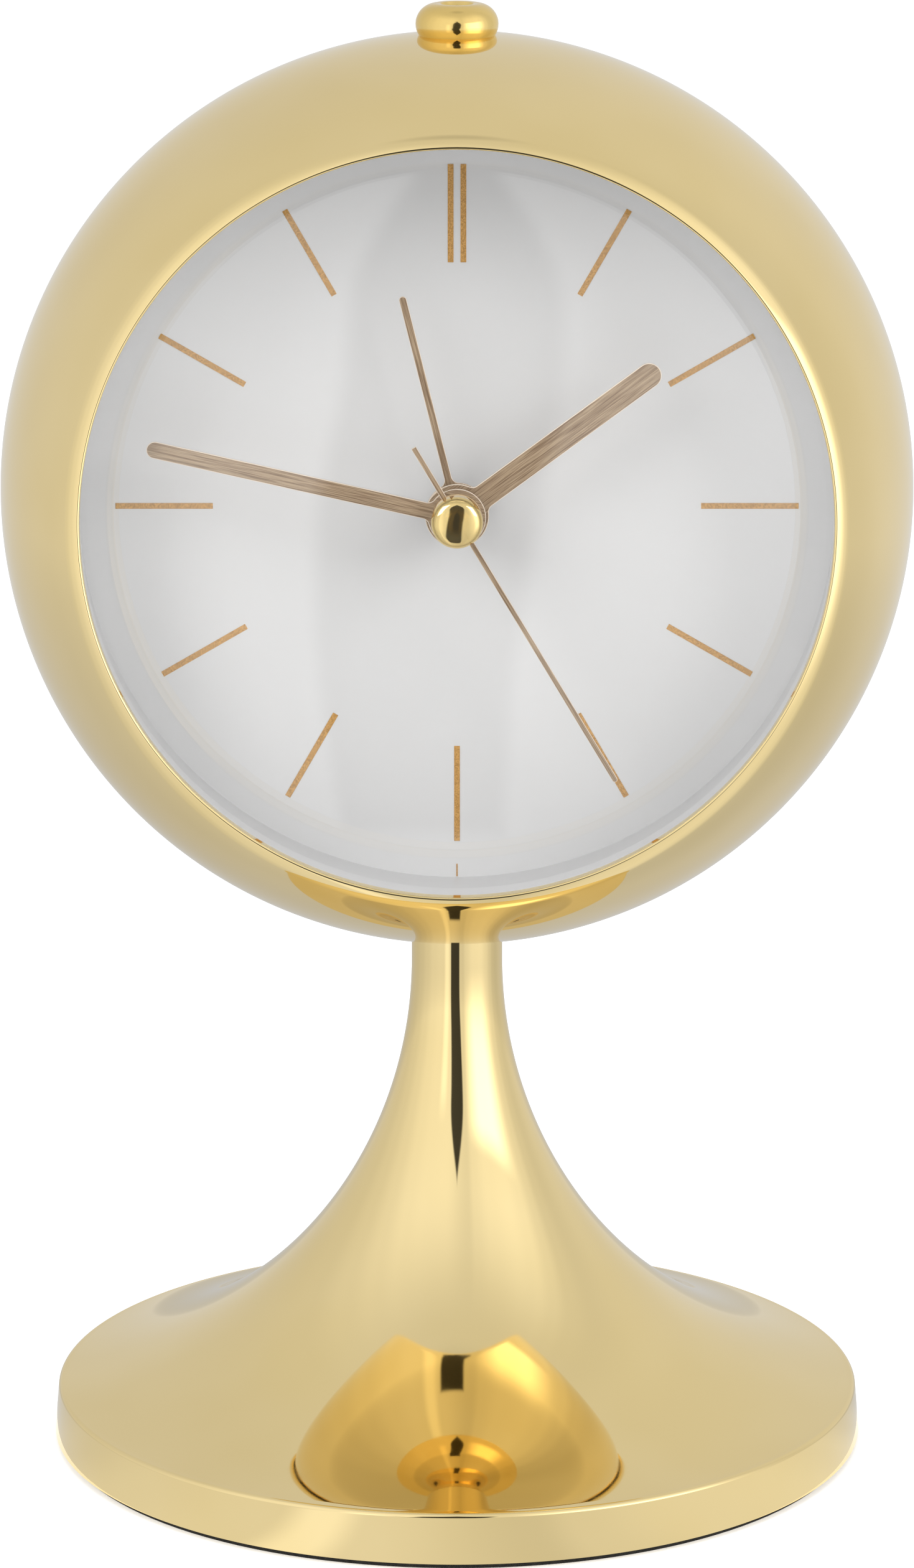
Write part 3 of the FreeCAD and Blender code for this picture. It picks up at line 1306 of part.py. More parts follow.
def knob(label, spot):
    """Fluted setting knob whose stem sockets onto the arbor."""
    body = new_body(label)
    top = "(%s - knob_gap)" % COVER_BACK
    floor = "(%s - knob_thick)" % top
    stem_end = "(%s - stem_gap)" % MOVEMENT_BACK
    pad(body, label + "_grip", [hole(spot, "knob_radius")], floor, "knob_thick")
    shapes = []
    for step in range(KNOB_FLUTES):
        angle = 360 * step / KNOB_FLUTES
        shapes.append((
            "%s + (knob_radius + knob_flute_radius / 2) * cos(%g)" % (spot[0], angle),
            "%s + (knob_radius + knob_flute_radius / 2) * sin(%g)" % (spot[1], angle),
            "knob_flute_radius",
        ))
    pocket(body, label + "_flutes", shapes, top, "knob_thick")
    pad(body, label + "_stem", [hole(spot, "knob_stem_radius")], top, "%s - %s" % (stem_end, top))
    pocket(body, label + "_socket", [hole(spot, "set_arbor_radius")], stem_end, "stem_socket")
    on_face(body)


def alarm_switch():
    """Slide through the back, and the keeper that holds its skirt against the rails."""
    slide = new_body("alarm_slide")
    shift = "(slide_travel / 2)"
    half = "(slide_long / 2)"
    across = "(slide_wide / 2)"
    skirt_half = "(slide_long / 2 + slide_skirt + slide_travel / 2)"
    skirt_across = "(slide_wide / 2 + slide_skirt)"
    pad(slide, "slide_nub", [box_loop(
        "(-%s - %s)" % (half, shift), "(slide_height - %s)" % across,
        "(%s - %s)" % (half, shift), "(slide_height + %s)" % across)],
        "%s - slide_proud" % COVER_BACK, "cover_thick + slide_proud")
    pad(slide, "slide_skirt_plate", [box_loop(
        "(-%s - %s)" % (skirt_half, shift), "(slide_height - %s)" % skirt_across,
        "(%s - %s)" % (skirt_half, shift), "(slide_height + %s)" % skirt_across)],
        COVER_FRONT, "slide_skirt_thick")
    on_face(slide)
    keeper = new_body("slide_keeper")
    rail_long = "(slide_long / 2 + slide_travel + slide_fit + slide_skirt)"
    rail_out = "(slide_wide / 2 + slide_skirt + slide_fit + slide_rail)"
    pad(keeper, "keeper_plate", [box_loop(
        "-" + rail_long, "(slide_height - %s)" % rail_out, rail_long, "(slide_height + %s)" % rail_out)],
        "%s + slide_skirt_thick + slide_fit" % COVER_FRONT, "slide_skirt_thick")
    on_face(keeper)


def sounder():
    """Piezo sounder disc in its ring, with a raised terminal boss."""
    body = new_body("sounder")
    spot = ("-sounder_side", "slide_height")
    pad(body, "sounder_can", [hole(spot, "sounder_radius")], COVER_FRONT, "sounder_thick")
    pad(body, "sounder_boss", [hole(spot, "sound_ring_radius")], "%s + sounder_thick" % COVER_FRONT,
        "contact_thick")
    on_face(body)


def top_button():
    """Bead-shaped cap with a dimple, its plunger, the guide inside the ball, and the snooze switch."""
    equator = "(%s + button_equator)" % BUTTON_SEAT
    under = "(%s - button_skirt_deep)" % BUTTON_SEAT
    tube = "button_tube_radius"
    join = "(%s - sqrt(button_tube_radius^2 - (button_skirt_radius - button_ring_radius)^2))" % equator
    edge = "(%s + sqrt(button_tube_radius^2 - (button_ring_radius - button_dimple_radius)^2))" % equator
    bowl = "((button_dimple_radius^2 + button_dimple_deep^2) / (2 * button_dimple_deep))"
    turned("button_cap", [
        ("0", under),
        ("button_skirt_radius", under),
        ("button_skirt_radius", join, tube, 1),
        ("button_ring_radius + button_tube_radius", equator, tube, 1),
        ("button_ring_radius", "%s + button_tube_radius" % equator, tube, 1),
        ("button_dimple_radius", edge, bowl, -1),
        ("0", "%s - button_dimple_deep" % edge),
    ])
    head_floor = "(%s - plunger_head_thick)" % under
    switch_top = "(movement_side / 2 + switch_tall) * cos(face_lean) + %s * sin(face_lean)" % SWITCH_AXIS
    shoulder = "(case_height + %s + plunger_room)" % switch_top
    turned("button_plunger", [
        ("0", "%s - plunger_tip_long" % shoulder),
        ("plunger_tip_radius", "%s - plunger_tip_long" % shoulder),
        ("plunger_tip_radius", shoulder),
        ("plunger_radius", shoulder),
        ("plunger_radius", head_floor),
        ("plunger_head_radius", head_floor),
        ("plunger_head_radius", under),
        ("0", under),
    ])
    inside = "(case_radius - case_wall - seat_gap)"
    bore = "(plunger_radius + guide_fit)"
    well_floor = "(%s + guide_well_floor)" % GUIDE_FLOOR
    turned("button_guide", [
        (bore, GUIDE_FLOOR),
        ("guide_radius", GUIDE_FLOOR),
        ("guide_radius", "case_height + sqrt(%s^2 - guide_radius^2)" % inside, inside, 1),
        ("guide_well_radius", "case_height + sqrt(%s^2 - guide_well_radius^2)" % inside),
        ("guide_well_radius", well_floor),
        (bore, well_floor),
    ])
    housing = box("switch_housing", "-switch_side / 2", "movement_side / 2",
                  "%s - switch_side / 2" % SWITCH_AXIS, "switch_side", "switch_tall", "switch_side")
    well = bar_along_y("switch_well", "plunger_tip_radius + switch_side_gap", "0",
                       "movement_side / 2 + switch_tall - plunger_tip_long - switch_gap",
                       SWITCH_AXIS, "plunger_tip_long * 2")
    switch = doc.addObject("Part::Cut", "snooze_switch")
    switch.Label = "snooze_switch"
    switch.Base = housing
    switch.Tool = well
    on_face(switch)


foot()
tie_rod()
case_shell()
glass_stack()
hour_marks()
hands()
running_train()
motion_work()
alarm_work()
movement_box()
chassis()
motor()
back_cover()
battery()
battery_door()
contact("contact_positive", 1)
contact("contact_negative", -1)
knob("time_knob", TIME)
knob("alarm_knob", ALARM)
alarm_switch()
sounder()
top_button()
doc.recompute()

NODES = (
    "foot_pad", "base_plate", "base_weight", "pedestal", "tie_rod", "tie_nuts", "tie_washer",
    "saddle_washer", "case_shell", "glass", "glass_gasket", "dial_wall", "dial", "hour_marks",
    "alarm_hand", "hour_hand", "minute_hand", "second_hand", "hand_cap", "rotor", "fifth_wheel",
    "second_wheel", "third_wheel", "centre_wheel", "minute_cannon", "minute_wheel", "hour_wheel",
    "alarm_wheel", "alarm_pinion", "movement_front", "movement_back", "movement_bridge", "chassis",
    "stator", "coil", "circuit_board", "crystal", "back_cover", "battery", "battery_door",
    "contact_positive", "contact_negative", "time_knob", "alarm_knob", "alarm_slide",
    "slide_keeper", "sounder", "button_cap", "button_plunger", "button_guide", "snooze_switch",
)


def check(item):
    """Stop when an object is in error."""
    for state in ("Invalid", "Error"):
        if state in item.State:
            raise RuntimeError("%s is %s" % (item.Label, state))


for item in doc.Objects:
    check(item)
shapes = {}
for node in NODES:
    shape = doc.getObject(node).Shape
    if shape.isNull() or not shape.isValid():
        raise RuntimeError("%s has no valid shape" % node)
    shapes[node] = shape

os.makedirs("parts", exist_ok=True)
for node, shape in shapes.items():
    shape.exportStep("parts/%s.step" % node)
    print(node, len(shape.Solids), round(shape.Volume, 2))
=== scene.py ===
"""A gold pedestal alarm clock: a polished ball with a glass-covered dial, on a trumpet foot.

Blender works in metres. The clock's own sizes are given in millimetres, as in the solids, and
are turned into metres with MM. The ball's face leans back by 3 degrees.
"""

import math

import bmesh
import bpy
from mathutils import Matrix, Vector


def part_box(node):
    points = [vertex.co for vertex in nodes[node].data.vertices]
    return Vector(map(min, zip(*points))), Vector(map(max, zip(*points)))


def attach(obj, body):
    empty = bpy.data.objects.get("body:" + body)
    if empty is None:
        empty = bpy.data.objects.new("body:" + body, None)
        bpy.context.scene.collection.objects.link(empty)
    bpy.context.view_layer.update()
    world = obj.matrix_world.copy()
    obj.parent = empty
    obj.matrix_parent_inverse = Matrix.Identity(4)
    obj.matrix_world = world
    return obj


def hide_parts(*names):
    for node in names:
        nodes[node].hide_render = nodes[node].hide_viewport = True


MM = 0.001
FACE_LEAN = math.radians(3.0)

# The ball: its centre's height, its radius and wall, and where its front and back openings end
BALL_HEIGHT = 119.6
BALL = 55.0
BALL_WALL = 0.8
LIP_DEPTH = 31.88
LIP_ROLL = 0.5
LIP_FOLD = 1.4
LIP_RADIUS = math.sqrt((BALL - LIP_ROLL) ** 2 - LIP_DEPTH ** 2) - LIP_ROLL
REAR_DEPTH = 26.85
REAR_RADIUS = math.sqrt(BALL ** 2 - REAR_DEPTH ** 2)
SEAT_GAP = 0.05
ROD_HOLE = 2.2

# The back cover: how far its flat face lies behind the ball's centre, and the reach of that face
COVER_FACE = 28.653
COVER_FLAT = 48.6
KNOB_HEIGHT = 6.0
TIME_KNOB_SIDE = -8.617
ALARM_KNOB_SIDE = 11.082
SLIDE_HEIGHT = 20.0
CELL_HEIGHT = -17.5

# Each hand's node, its body, the degrees it is turned clockwise from twelve, and its edge's width
HANDS = (
    ("alarm_hand", "alarm", 345.9, 0.06),
    ("hour_hand", "hours", 53.6, 0.09),
    ("minute_hand", "minutes", 282.7, 0.08),
    ("second_hand", "seconds", 149.0, 0.05),
)
# The words moulded on the back cover: name, text, place to the left, place up, and height
WORDS = (
    ("word_time", "TIME", TIME_KNOB_SIDE - 1.5, KNOB_HEIGHT - 8.9, 2.4),
    ("word_alarm", "ALARM", ALARM_KNOB_SIDE + 1.5, KNOB_HEIGHT - 8.9, 2.4),
    ("word_on", "ON", 9.0, SLIDE_HEIGHT, 2.4),
    ("word_off", "OFF", -9.5, SLIDE_HEIGHT, 2.4),
    ("sign_plus", "+", 32.6, CELL_HEIGHT, 3.2),
    ("sign_minus", "-", -32.6, CELL_HEIGHT, 3.2),
)

# Points nearer than this are welded, in millimetres
WELD = 0.001

WHITE = (1, 1, 1, 1)
# Where the camera stands and how it looks: metres, degrees from straight down, millimetres
CAMERA_PLACE = (0.0, -0.72922, 0.26424)
CAMERA_TILT = 76.03
CAMERA_LENS = 141.156
CAMERA_FILM = 36.0
# Level of the even light from the room, and how much the white floor is lifted to the background
ROOM_LEVEL = 0.85
FLOOR_LIFT = 0.35
FLOOR_RADIUS = 6.0
# Each lamp's name, place, height of the point it faces, side in metres, and watts
LAMPS = (
    ("key_lamp", (1.0, -0.9, 0.8), 0.09, 0.8, 7.5),
    ("fill_lamp", (-0.95, -1.0, 0.9), 0.09, 0.9, 9.0),
    ("top_lamp", (0.0, 0.25, 1.3), 0.05, 1.0, 4.0),
)
# The tent: its radius, the hole round the foot, the floor's height, and the height its angles start from
TENT_RADIUS = 2.4
TENT_HOLE = 0.0512
TENT_FLOOR = 0.0005
TENT_EYE = 0.08
# Its level round the clock: degrees to the right of the camera, and brightness
TENT_LEVELS = (
    (-180, 0.72), (-150, 0.71), (-120, 0.75), (-100, 0.82), (-80, 0.92), (-60, 1.03), (-40, 1.08),
    (-15, 1.10), (14, 0.92), (22, 1.03), (40, 1.12), (62, 1.15), (78, 1.08), (90, 0.93), (100, 0.80),
    (112, 0.75), (130, 0.79), (150, 0.77), (180, 0.72),
)
FULL_LEVEL = 1.25
# Degrees up between which the tent evens out, and its level at the crown
CROWN = (34.0, 74.0)
CROWN_LEVEL = 0.76
# The soft box at the right, and a narrow one at the left of the slot: the degrees across and up
# where each rises and falls, and what it adds
BOX_ACROSS = ((13.0, 42.0), (58.0, 84.0))
BOX_UP = ((-24.0, 5.0), (19.0, 28.0))
BOX_LEVEL = 1.15
STRIP_ACROSS = ((-33.0, -26.0), (-23.0, -16.0))
STRIP_TOP = (10.0, 22.0)
STRIP_LEVEL = 0.3
# The slot that the camera looks through. It leans to the left low down and closes higher up:
# degrees up between which it changes, and its middle and half width at each
SLOT_LEAN = (-16.0, 15.0, -4.5, 0.0)
SLOT_CLOSE = (16.0, 42.0, 10.5, -2.0)
SLOT_EDGE = 1.5
SLOT_LEVEL = 0.06
# Metres from the middle: the floor inside the first pair is lit, also in the slot, and the floor
# is a little darker at the near end of the second pair
LIT_FLOOR = (0.135, 0.155)
FOOT_SHADE = (0.06, 0.6)
SHADE_LEVEL = 0.8

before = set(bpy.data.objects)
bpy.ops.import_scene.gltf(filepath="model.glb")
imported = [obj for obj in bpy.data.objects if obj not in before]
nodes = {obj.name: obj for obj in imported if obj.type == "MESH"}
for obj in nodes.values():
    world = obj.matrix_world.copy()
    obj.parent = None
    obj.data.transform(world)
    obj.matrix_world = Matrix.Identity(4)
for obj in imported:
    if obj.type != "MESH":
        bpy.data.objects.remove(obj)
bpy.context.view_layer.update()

FACE_TURN = Matrix.Translation((0, 0, BALL_HEIGHT * MM)) @ Matrix.Rotation(-FACE_LEAN, 4, "X")
# Puts a piece drawn with x to the right, y up the dial and z out of the dial in its place
FACE_AXES = FACE_TURN @ Matrix(((1, 0, 0, 0), (0, 0, -1, 0), (0, 1, 0, 0), (0, 0, 0, 1)))
# The same for the back: x to the left as seen from the front, y up and z out of the cover
BACK_AXES = FACE_TURN @ Matrix(((-1, 0, 0, 0), (0, 0, 1, 0), (0, 1, 0, 0), (0, 0, 0, 1)))


# ---------------------------------------------------------------- shader tools


def linear(code):
    """Linear colour of an sRGB hex value."""
    parts = [int(code[i : i + 2], 16) / 255 for i in (1, 3, 5)]
    return tuple(c / 12.92 if c <= 0.04045 else ((c + 0.055) / 1.055) ** 2.4 for c in parts) + (1.0,)


def add(tree, kind, links=None, **settings):
    """A shader node with its settings, and what feeds or fills its sockets."""
    made = tree.nodes.new("ShaderNode" + kind)
    for name, value in settings.items():
        setattr(made, name, value)
    for socket, source in (links or {}).items():
        if isinstance(source, bpy.types.NodeSocket):
            tree.links.new(source, made.inputs[socket])
        else:
            made.inputs[socket].default_value = source
    return made


def start_material(name):
    """An empty material, its node tree and its Object coordinates."""
    material = bpy.data.materials.new(name)
    material.use_nodes = True
    tree = material.node_tree
    tree.nodes.clear()
    return material, tree, add(tree, "TexCoord").outputs["Object"]


def noise(tree, place, size, detail, roughness=0.5):
    """Noise with spots of about that many millimetres."""
    links = {"Vector": place, "Scale": 1 / (size * MM), "Detail": detail, "Roughness": roughness}
    return add(tree, "TexNoise", links).outputs["Fac"]


def spread(tree, value, low, high, start=0.0, end=1.0):
    """Turns the span from start to end into the span from low to high."""
    links = {"Value": value, "From Min": start, "From Max": end, "To Min": low, "To Max": high}
    return add(tree, "MapRange", links).outputs["Result"]


def blend_colours(tree, share, first, second):
    links = {0: share, 6: linear(first), 7: linear(second)}
    return add(tree, "Mix", links, data_type="RGBA").outputs[2]


def raise_grain(tree, height, strength, depth):
    """A bump of that many millimetres at full strength."""
    links = {"Height": height, "Strength": strength, "Distance": depth * MM}
    return add(tree, "Bump", links).outputs["Normal"]


def math_node(tree, kind, *values):
    return add(tree, "Math", dict(enumerate(values)), operation=kind).outputs["Value"]


def surface(tree, **values):
    """The Principled shader and the output it feeds, with plain values on its own sockets."""
    links = {name.replace("_", " "): value for name, value in values.items()}
    shader = add(tree, "BsdfPrincipled", links)
    add(tree, "OutputMaterial", {"Surface": shader.outputs["BSDF"]})


# ---------------------------------------------------------------- materials


def gold_plating(name, colour, deep, haze):
    """Brass plate over steel, buffed to a mirror and lacquered: a clean image of the room,
    a slow waviness under it from the buffing, and a haze that comes and goes."""
    material, tree, place = start_material(name)
    cloud = noise(tree, place, 22, 2.0)
    polish = noise(tree, place, 3, 4.0, 0.6)
    ripple = noise(tree, place, 7, 1.0, 0.4)
    surface(
        tree, Metallic=1.0,
        Base_Color=blend_colours(tree, spread(tree, cloud, 0.0, 1.0, 0.35, 0.65), colour, deep),
        Roughness=spread(tree, polish, haze * 0.6, haze * 1.5, 0.3, 0.7),
        Normal=raise_grain(tree, ripple, 0.25, 0.02),
    )
    return material


def dial_paint():
    """Satin grey-white paint on an aluminium disc: soft, even, with the faint grain of a fine spray."""
    material, tree, place = start_material("satin_dial_paint")
    grain = noise(tree, place, 0.25, 2.0)
    cloud = noise(tree, place, 18, 1.0)
    surface(
        tree,
        Base_Color=blend_colours(tree, cloud, "#DCDCDC", "#D8D8D8"),
        Roughness=spread(tree, grain, 0.42, 0.55),
        Normal=raise_grain(tree, grain, 0.15, 0.01),
    )
    return material


def moulded(name, colour, worn, rough, grain_size, grain_deep):
    """Injection-moulded plastic: one colour with a slight cloud, and the sparked grain of its mould."""
    material, tree, place = start_material(name)
    grain = noise(tree, place, grain_size, 3.0)
    surface(
        tree, IOR=1.5,
        Base_Color=blend_colours(tree, noise(tree, place, 9, 2.0), colour, worn),
        Roughness=spread(tree, grain, rough - 0.08, rough + 0.08),
        Normal=raise_grain(tree, grain, 0.5, grain_deep),
    )
    return material


def gilt_cover():
    """Black ABS with gold foil stamped round its rim: the rim's mirror image in the foot is gold."""
    material, tree, place = start_material("black_abs_with_foil_rim")
    centred = add(tree, "Mapping", {"Vector": place, "Location": (0, 0, -BALL_HEIGHT * MM)})
    upright = add(tree, "Mapping", {"Vector": centred.outputs["Vector"], "Rotation": (FACE_LEAN, 0, 0)})
    spot = add(tree, "SeparateXYZ", {"Vector": upright.outputs["Vector"]})
    flat = add(tree, "CombineXYZ", {"X": spot.outputs["X"], "Y": spot.outputs["Z"]})
    reach = add(tree, "VectorMath", {0: flat.outputs["Vector"]}, operation="LENGTH")
    foiled = math_node(tree, "GREATER_THAN", reach.outputs["Value"], COVER_FLAT * MM)
    grain = noise(tree, place, 0.35, 3.0)
    gloss = add(tree, "Mix", {0: foiled, 2: spread(tree, grain, 0.34, 0.5), 3: 0.12})
    depth = add(tree, "Mix", {0: foiled, 2: 0.5, 3: 0.05})
    surface(
        tree, Metallic=foiled,
        Base_Color=blend_colours(tree, foiled, "#1B1B1C", "#F2DCA4"),
        Roughness=gloss.outputs[0],
        Normal=raise_grain(tree, grain, depth.outputs[0], 0.03),
    )
    return material


def brushed_bronze(name, turn):
    """Bronze-lacquered aluminium, brushed along the blade: fine lines that streak its colour and
    its gloss. The lines are 0.11 mm wide and 45 times as long."""
    line, stretch = 0.11, 45.0
    material, tree, place = start_material(name)
    upright = add(tree, "Mapping", {"Vector": place, "Rotation": (FACE_LEAN, 0, 0)})
    along = add(tree, "Mapping", {
        "Vector": upright.outputs["Vector"], "Rotation": (0, -math.radians(turn), 0),
    })
    drawn = add(tree, "Mapping", {
        "Vector": along.outputs["Vector"],
        "Scale": (1 / (line * MM), 1 / (line * MM), 1 / (line * stretch * MM)),
    })
    # The mapping gives the lines their size, so the noise keeps a scale of 1
    lines = add(tree, "TexNoise", {
        "Vector": drawn.outputs["Vector"], "Scale": 1.0, "Detail": 3.0, "Roughness": 0.6,
    }).outputs["Fac"]
    surface(
        tree, Metallic=0.35,
        Base_Color=blend_colours(tree, spread(tree, lines, 0.0, 1.0, 0.38, 0.62), "#836B53", "#B8A184"),
        Roughness=spread(tree, lines, 0.36, 0.56),
        Normal=raise_grain(tree, lines, 0.3, 0.01),
    )
    return material


def edge_with_painted_highlight():
    """The bare edge that the press leaves round a hand: bright aluminium under clear lacquer. Its near-white
    cream is also a painted highlight along the hand's outline.
    """
    material, tree, place = start_material("aluminium_edge_painted_highlight")
    scuff = noise(tree, place, 0.4, 3.0)
    surface(
        tree, Metallic=0.2,
        Base_Color=blend_colours(tree, scuff, "#E3D3C0", "#F6EBDD"),
        Roughness=spread(tree, scuff, 0.3, 0.5),
    )
    return material


def bronze_ink():
    """Bronze-gold ink screened onto the dial: matt grains of pigment that sparkle a little,
    drawn twice as coarse as they are so that they show."""
    material, tree, place = start_material("screened_bronze_ink")
    grain = noise(tree, place, 0.16, 2.0, 0.7)
    surface(
        tree, Metallic=0.35,
        Base_Color=blend_colours(tree, spread(tree, grain, 0.0, 1.0, 0.38, 0.62), "#B48647", "#DFAE66"),
        Roughness=spread(tree, grain, 0.35, 0.7),
        Normal=raise_grain(tree, grain, 0.6, 0.03),
    )
    return material


def clear_dome():
    """A pressed mineral-glass dome: clear, with a thin image of the room on it. Lamps shine
    through it onto the dial."""
    material, tree, place = start_material("pressed_clear_glass")
    ripple = noise(tree, place, 14, 1.0)
    glass = add(tree, "BsdfPrincipled", {
        "Base Color": linear("#FCFCFC"), "Roughness": 0.0, "IOR": 1.5, "Transmission Weight": 1.0,
        "Normal": raise_grain(tree, ripple, 0.1, 0.02),
    })
    open_air = add(tree, "BsdfTransparent", {"Color": linear("#FAFAFA")})
    path = add(tree, "LightPath")
    passing = math_node(tree, "MAXIMUM", path.outputs["Is Shadow Ray"], path.outputs["Is Diffuse Ray"])
    mix = add(tree, "MixShader", {0: passing, 1: glass.outputs["BSDF"], 2: open_air.outputs["BSDF"]})
    add(tree, "OutputMaterial", {"Surface": mix.outputs["Shader"]})
    return material


def turned_metal(name, colour, dark, rough, line=0.15):
    """Bar or sheet stock as machined or rolled: fine rings or lines in a plain metal."""
    material, tree, place = start_material(name)
    squeeze = add(tree, "Mapping", {"Vector": place, "Scale": (1.0, 1.0, 6.0)})
    lines = noise(tree, squeeze.outputs["Vector"], line * 4, 4.0)
    surface(
        tree, Metallic=1.0,
        Base_Color=blend_colours(tree, lines, dark, colour),
        Roughness=spread(tree, lines, rough - 0.1, rough + 0.1),
        Normal=raise_grain(tree, lines, 0.3, 0.01),
    )
    return material


def wound_copper():
    """Enamelled copper wire wound on a bobbin: close turns of 0.1 mm wire, drawn at 0.3 mm."""
    material, tree, place = start_material("enamelled_copper_wire")
    # The wave's own bands are 2 pi long at a scale of 1
    turns = add(tree, "TexWave", {
        "Vector": place, "Scale": 1 / (0.3 * MM * 6.283), "Distortion": 0.2,
    }, bands_direction="X").outputs["Fac"]
    surface(
        tree, Metallic=0.8, Roughness=0.35,
        Base_Color=blend_colours(tree, turns, "#7A3A1E", "#C8743F"),
        Normal=raise_grain(tree, turns, 0.8, 0.1),
    )
    return material


def soft_pad():
    """Closed-cell foam cut from sheet: matt, with open pores on its cut face."""
    material, tree, place = start_material("black_foam_sheet")
    pores = add(tree, "TexVoronoi", {"Vector": place, "Scale": 1 / (0.5 * MM)}).outputs["Distance"]
    surface(
        tree, Roughness=0.9,
        Base_Color=blend_colours(tree, pores, "#141414", "#2A2A2A"),
        Normal=raise_grain(tree, pores, 0.7, 0.15),
    )
    return material


def battery_jacket():
    """Printed film shrunk round the cell: black, with a coppery band over the last third, at the
    positive end."""
    material, tree, place = start_material("shrunk_printed_film")
    low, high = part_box("battery")
    band_start = low.x + (high.x - low.x) * 0.68
    spot = add(tree, "SeparateXYZ", {"Vector": place})
    band = math_node(tree, "GREATER_THAN", spot.outputs["X"], band_start)
    film = noise(tree, place, 2, 2.0)
    surface(
        tree, Metallic=0.2,
        Base_Color=blend_colours(tree, band, "#1B1B1D", "#B98148"),
        Roughness=spread(tree, film, 0.2, 0.34),
        Normal=raise_grain(tree, film, 0.15, 0.03),
    )
    return material


def give(material, *names):
    """Puts one material on the slots of several CAD nodes."""
    for name in names:
        mesh = nodes[name].data
        if not mesh.materials:
            mesh.materials.append(material)
        for slot in nodes[name].material_slots:
            slot.material = material


body_gold = gold_plating("lacquered_brass_plate", "#F2DCA4", "#EFD89D", 0.035)
button_gold = gold_plating("buffed_cast_brass", "#F2D78F", "#EBCB7C", 0.09)
cap_gold = gold_plating("polished_cap_brass", "#F3DA9A", "#EFD28E", 0.03)
black_abs = moulded("black_moulded_abs", "#1A1A1B", "#202021", 0.42, 0.35, 0.03)
black_gloss = moulded("black_polished_abs", "#151516", "#1B1B1C", 0.25, 0.8, 0.01)
ring_styrene = moulded("grey_moulded_styrene", "#CFCFCF", "#C9C9CA", 0.4, 0.3, 0.01)
pale_acetal = moulded("natural_acetal", "#E6E2D6", "#DDD8C9", 0.38, 0.3, 0.01)
box_abs = moulded("grey_box_abs", "#3C3D40", "#45464A", 0.45, 0.4, 0.02)
board_epoxy = moulded("green_glass_epoxy", "#2F6B3C", "#285E34", 0.3, 0.6, 0.02)
steel = turned_metal("zinc_plated_steel", "#C9CBCC", "#A9ACAE", 0.3)
iron = turned_metal("cast_iron_weight", "#6B6A69", "#4E4D4C", 0.55, 0.6)
clear_glass = clear_dome()
edge_metal_and_highlight = edge_with_painted_highlight()

give(body_gold, "case_shell", "pedestal")
give(button_gold, "button_cap")
give(cap_gold, "hand_cap")
give(ring_styrene, "glass_gasket", "dial_wall")
give(dial_paint(), "dial")
give(bronze_ink(), "hour_marks")
give(clear_glass, "glass")
give(soft_pad(), "foot_pad")
give(steel, "base_plate", "tie_rod", "tie_nuts", "tie_washer", "saddle_washer", "button_plunger", "sounder")
give(steel, "contact_positive", "contact_negative", "crystal", "rotor", "stator")
give(iron, "base_weight")
give(gilt_cover(), "back_cover")
give(black_abs, "battery_door", "chassis", "slide_keeper", "button_guide")
give(black_gloss, "time_knob", "alarm_knob", "alarm_slide", "snooze_switch")
give(pale_acetal, "fifth_wheel", "second_wheel", "third_wheel", "centre_wheel", "minute_cannon")
give(pale_acetal, "minute_wheel", "hour_wheel", "alarm_wheel", "alarm_pinion")
give(box_abs, "movement_front", "movement_back", "movement_bridge")
give(wound_copper(), "coil")
give(board_epoxy, "circuit_board")
give(battery_jacket(), "battery")


# ---------------------------------------------------------------- modelling tools


def deselect():
    for item in bpy.context.selected_objects:
        item.select_set(False)


def choose(item):
    """Makes one object the selected and active one."""
    deselect()
    item.select_set(True)
    bpy.context.view_layer.objects.active = item


def finish_piece(piece, name, body, material):
    """Names a piece, gives it its finish, and lets it ride on its body."""
    piece.name = name
    piece.data.name = name
    piece.data.materials.clear()
    piece.data.materials.append(material)
    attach(piece, body)


def lathe(name, start, course, turns=288):
    """Draws half a section in the XZ plane and spins it round Z. Each step of the course is the end
    of a straight run, or the end of an arc, its centre and how many edges it has."""
    deselect()
    bpy.ops.mesh.primitive_plane_add(size=MM)
    item = bpy.context.object
    bpy.ops.object.mode_set(mode="EDIT")
    bpy.ops.mesh.merge(type="CENTER")
    bpy.ops.transform.translate(value=(start[0] * MM, 0, start[1] * MM))
    here = start
    for end, *bend in course:
        if bend:
            centre, count = bend
            begins = math.atan2(here[1] - centre[1], here[0] - centre[0])
            ends = math.atan2(end[1] - centre[1], end[0] - centre[0])
            swing = (ends - begins + math.pi) % (2 * math.pi) - math.pi
            bpy.ops.mesh.spin(
                steps=count, angle=swing, center=(centre[0] * MM, 0, centre[1] * MM), axis=(0, 1, 0),
            )
        else:
            run = ((end[0] - here[0]) * MM, 0, (end[1] - here[1]) * MM)
            bpy.ops.mesh.extrude_region_move(TRANSFORM_OT_translate={"value": run})
        here = end
    bpy.ops.mesh.select_all(action="SELECT")
    bpy.ops.mesh.spin(steps=turns, angle=2 * math.pi, center=(0, 0, 0), axis=(0, 0, 1))
    bpy.ops.mesh.select_all(action="SELECT")
    bpy.ops.mesh.remove_doubles(threshold=WELD * MM)
    bpy.ops.mesh.normals_make_consistent(inside=False)
    bpy.ops.object.mode_set(mode="OBJECT")
    item.name = name
    item.data.name = name
    return item


def bore(item, radius, low, high):
    """Drills an upright hole through a piece."""
    deselect()
    bpy.ops.mesh.primitive_cylinder_add(
        vertices=192, radius=radius * MM, depth=(high - low) * MM, location=(0, 0, (low + high) / 2 * MM),
    )
    drill = bpy.context.object
    cut = item.modifiers.new("bore", "BOOLEAN")
    cut.object = drill
    cut.solver = "EXACT"
    choose(item)
    bpy.ops.object.modifier_apply(modifier=cut.name)
    bpy.data.objects.remove(drill)


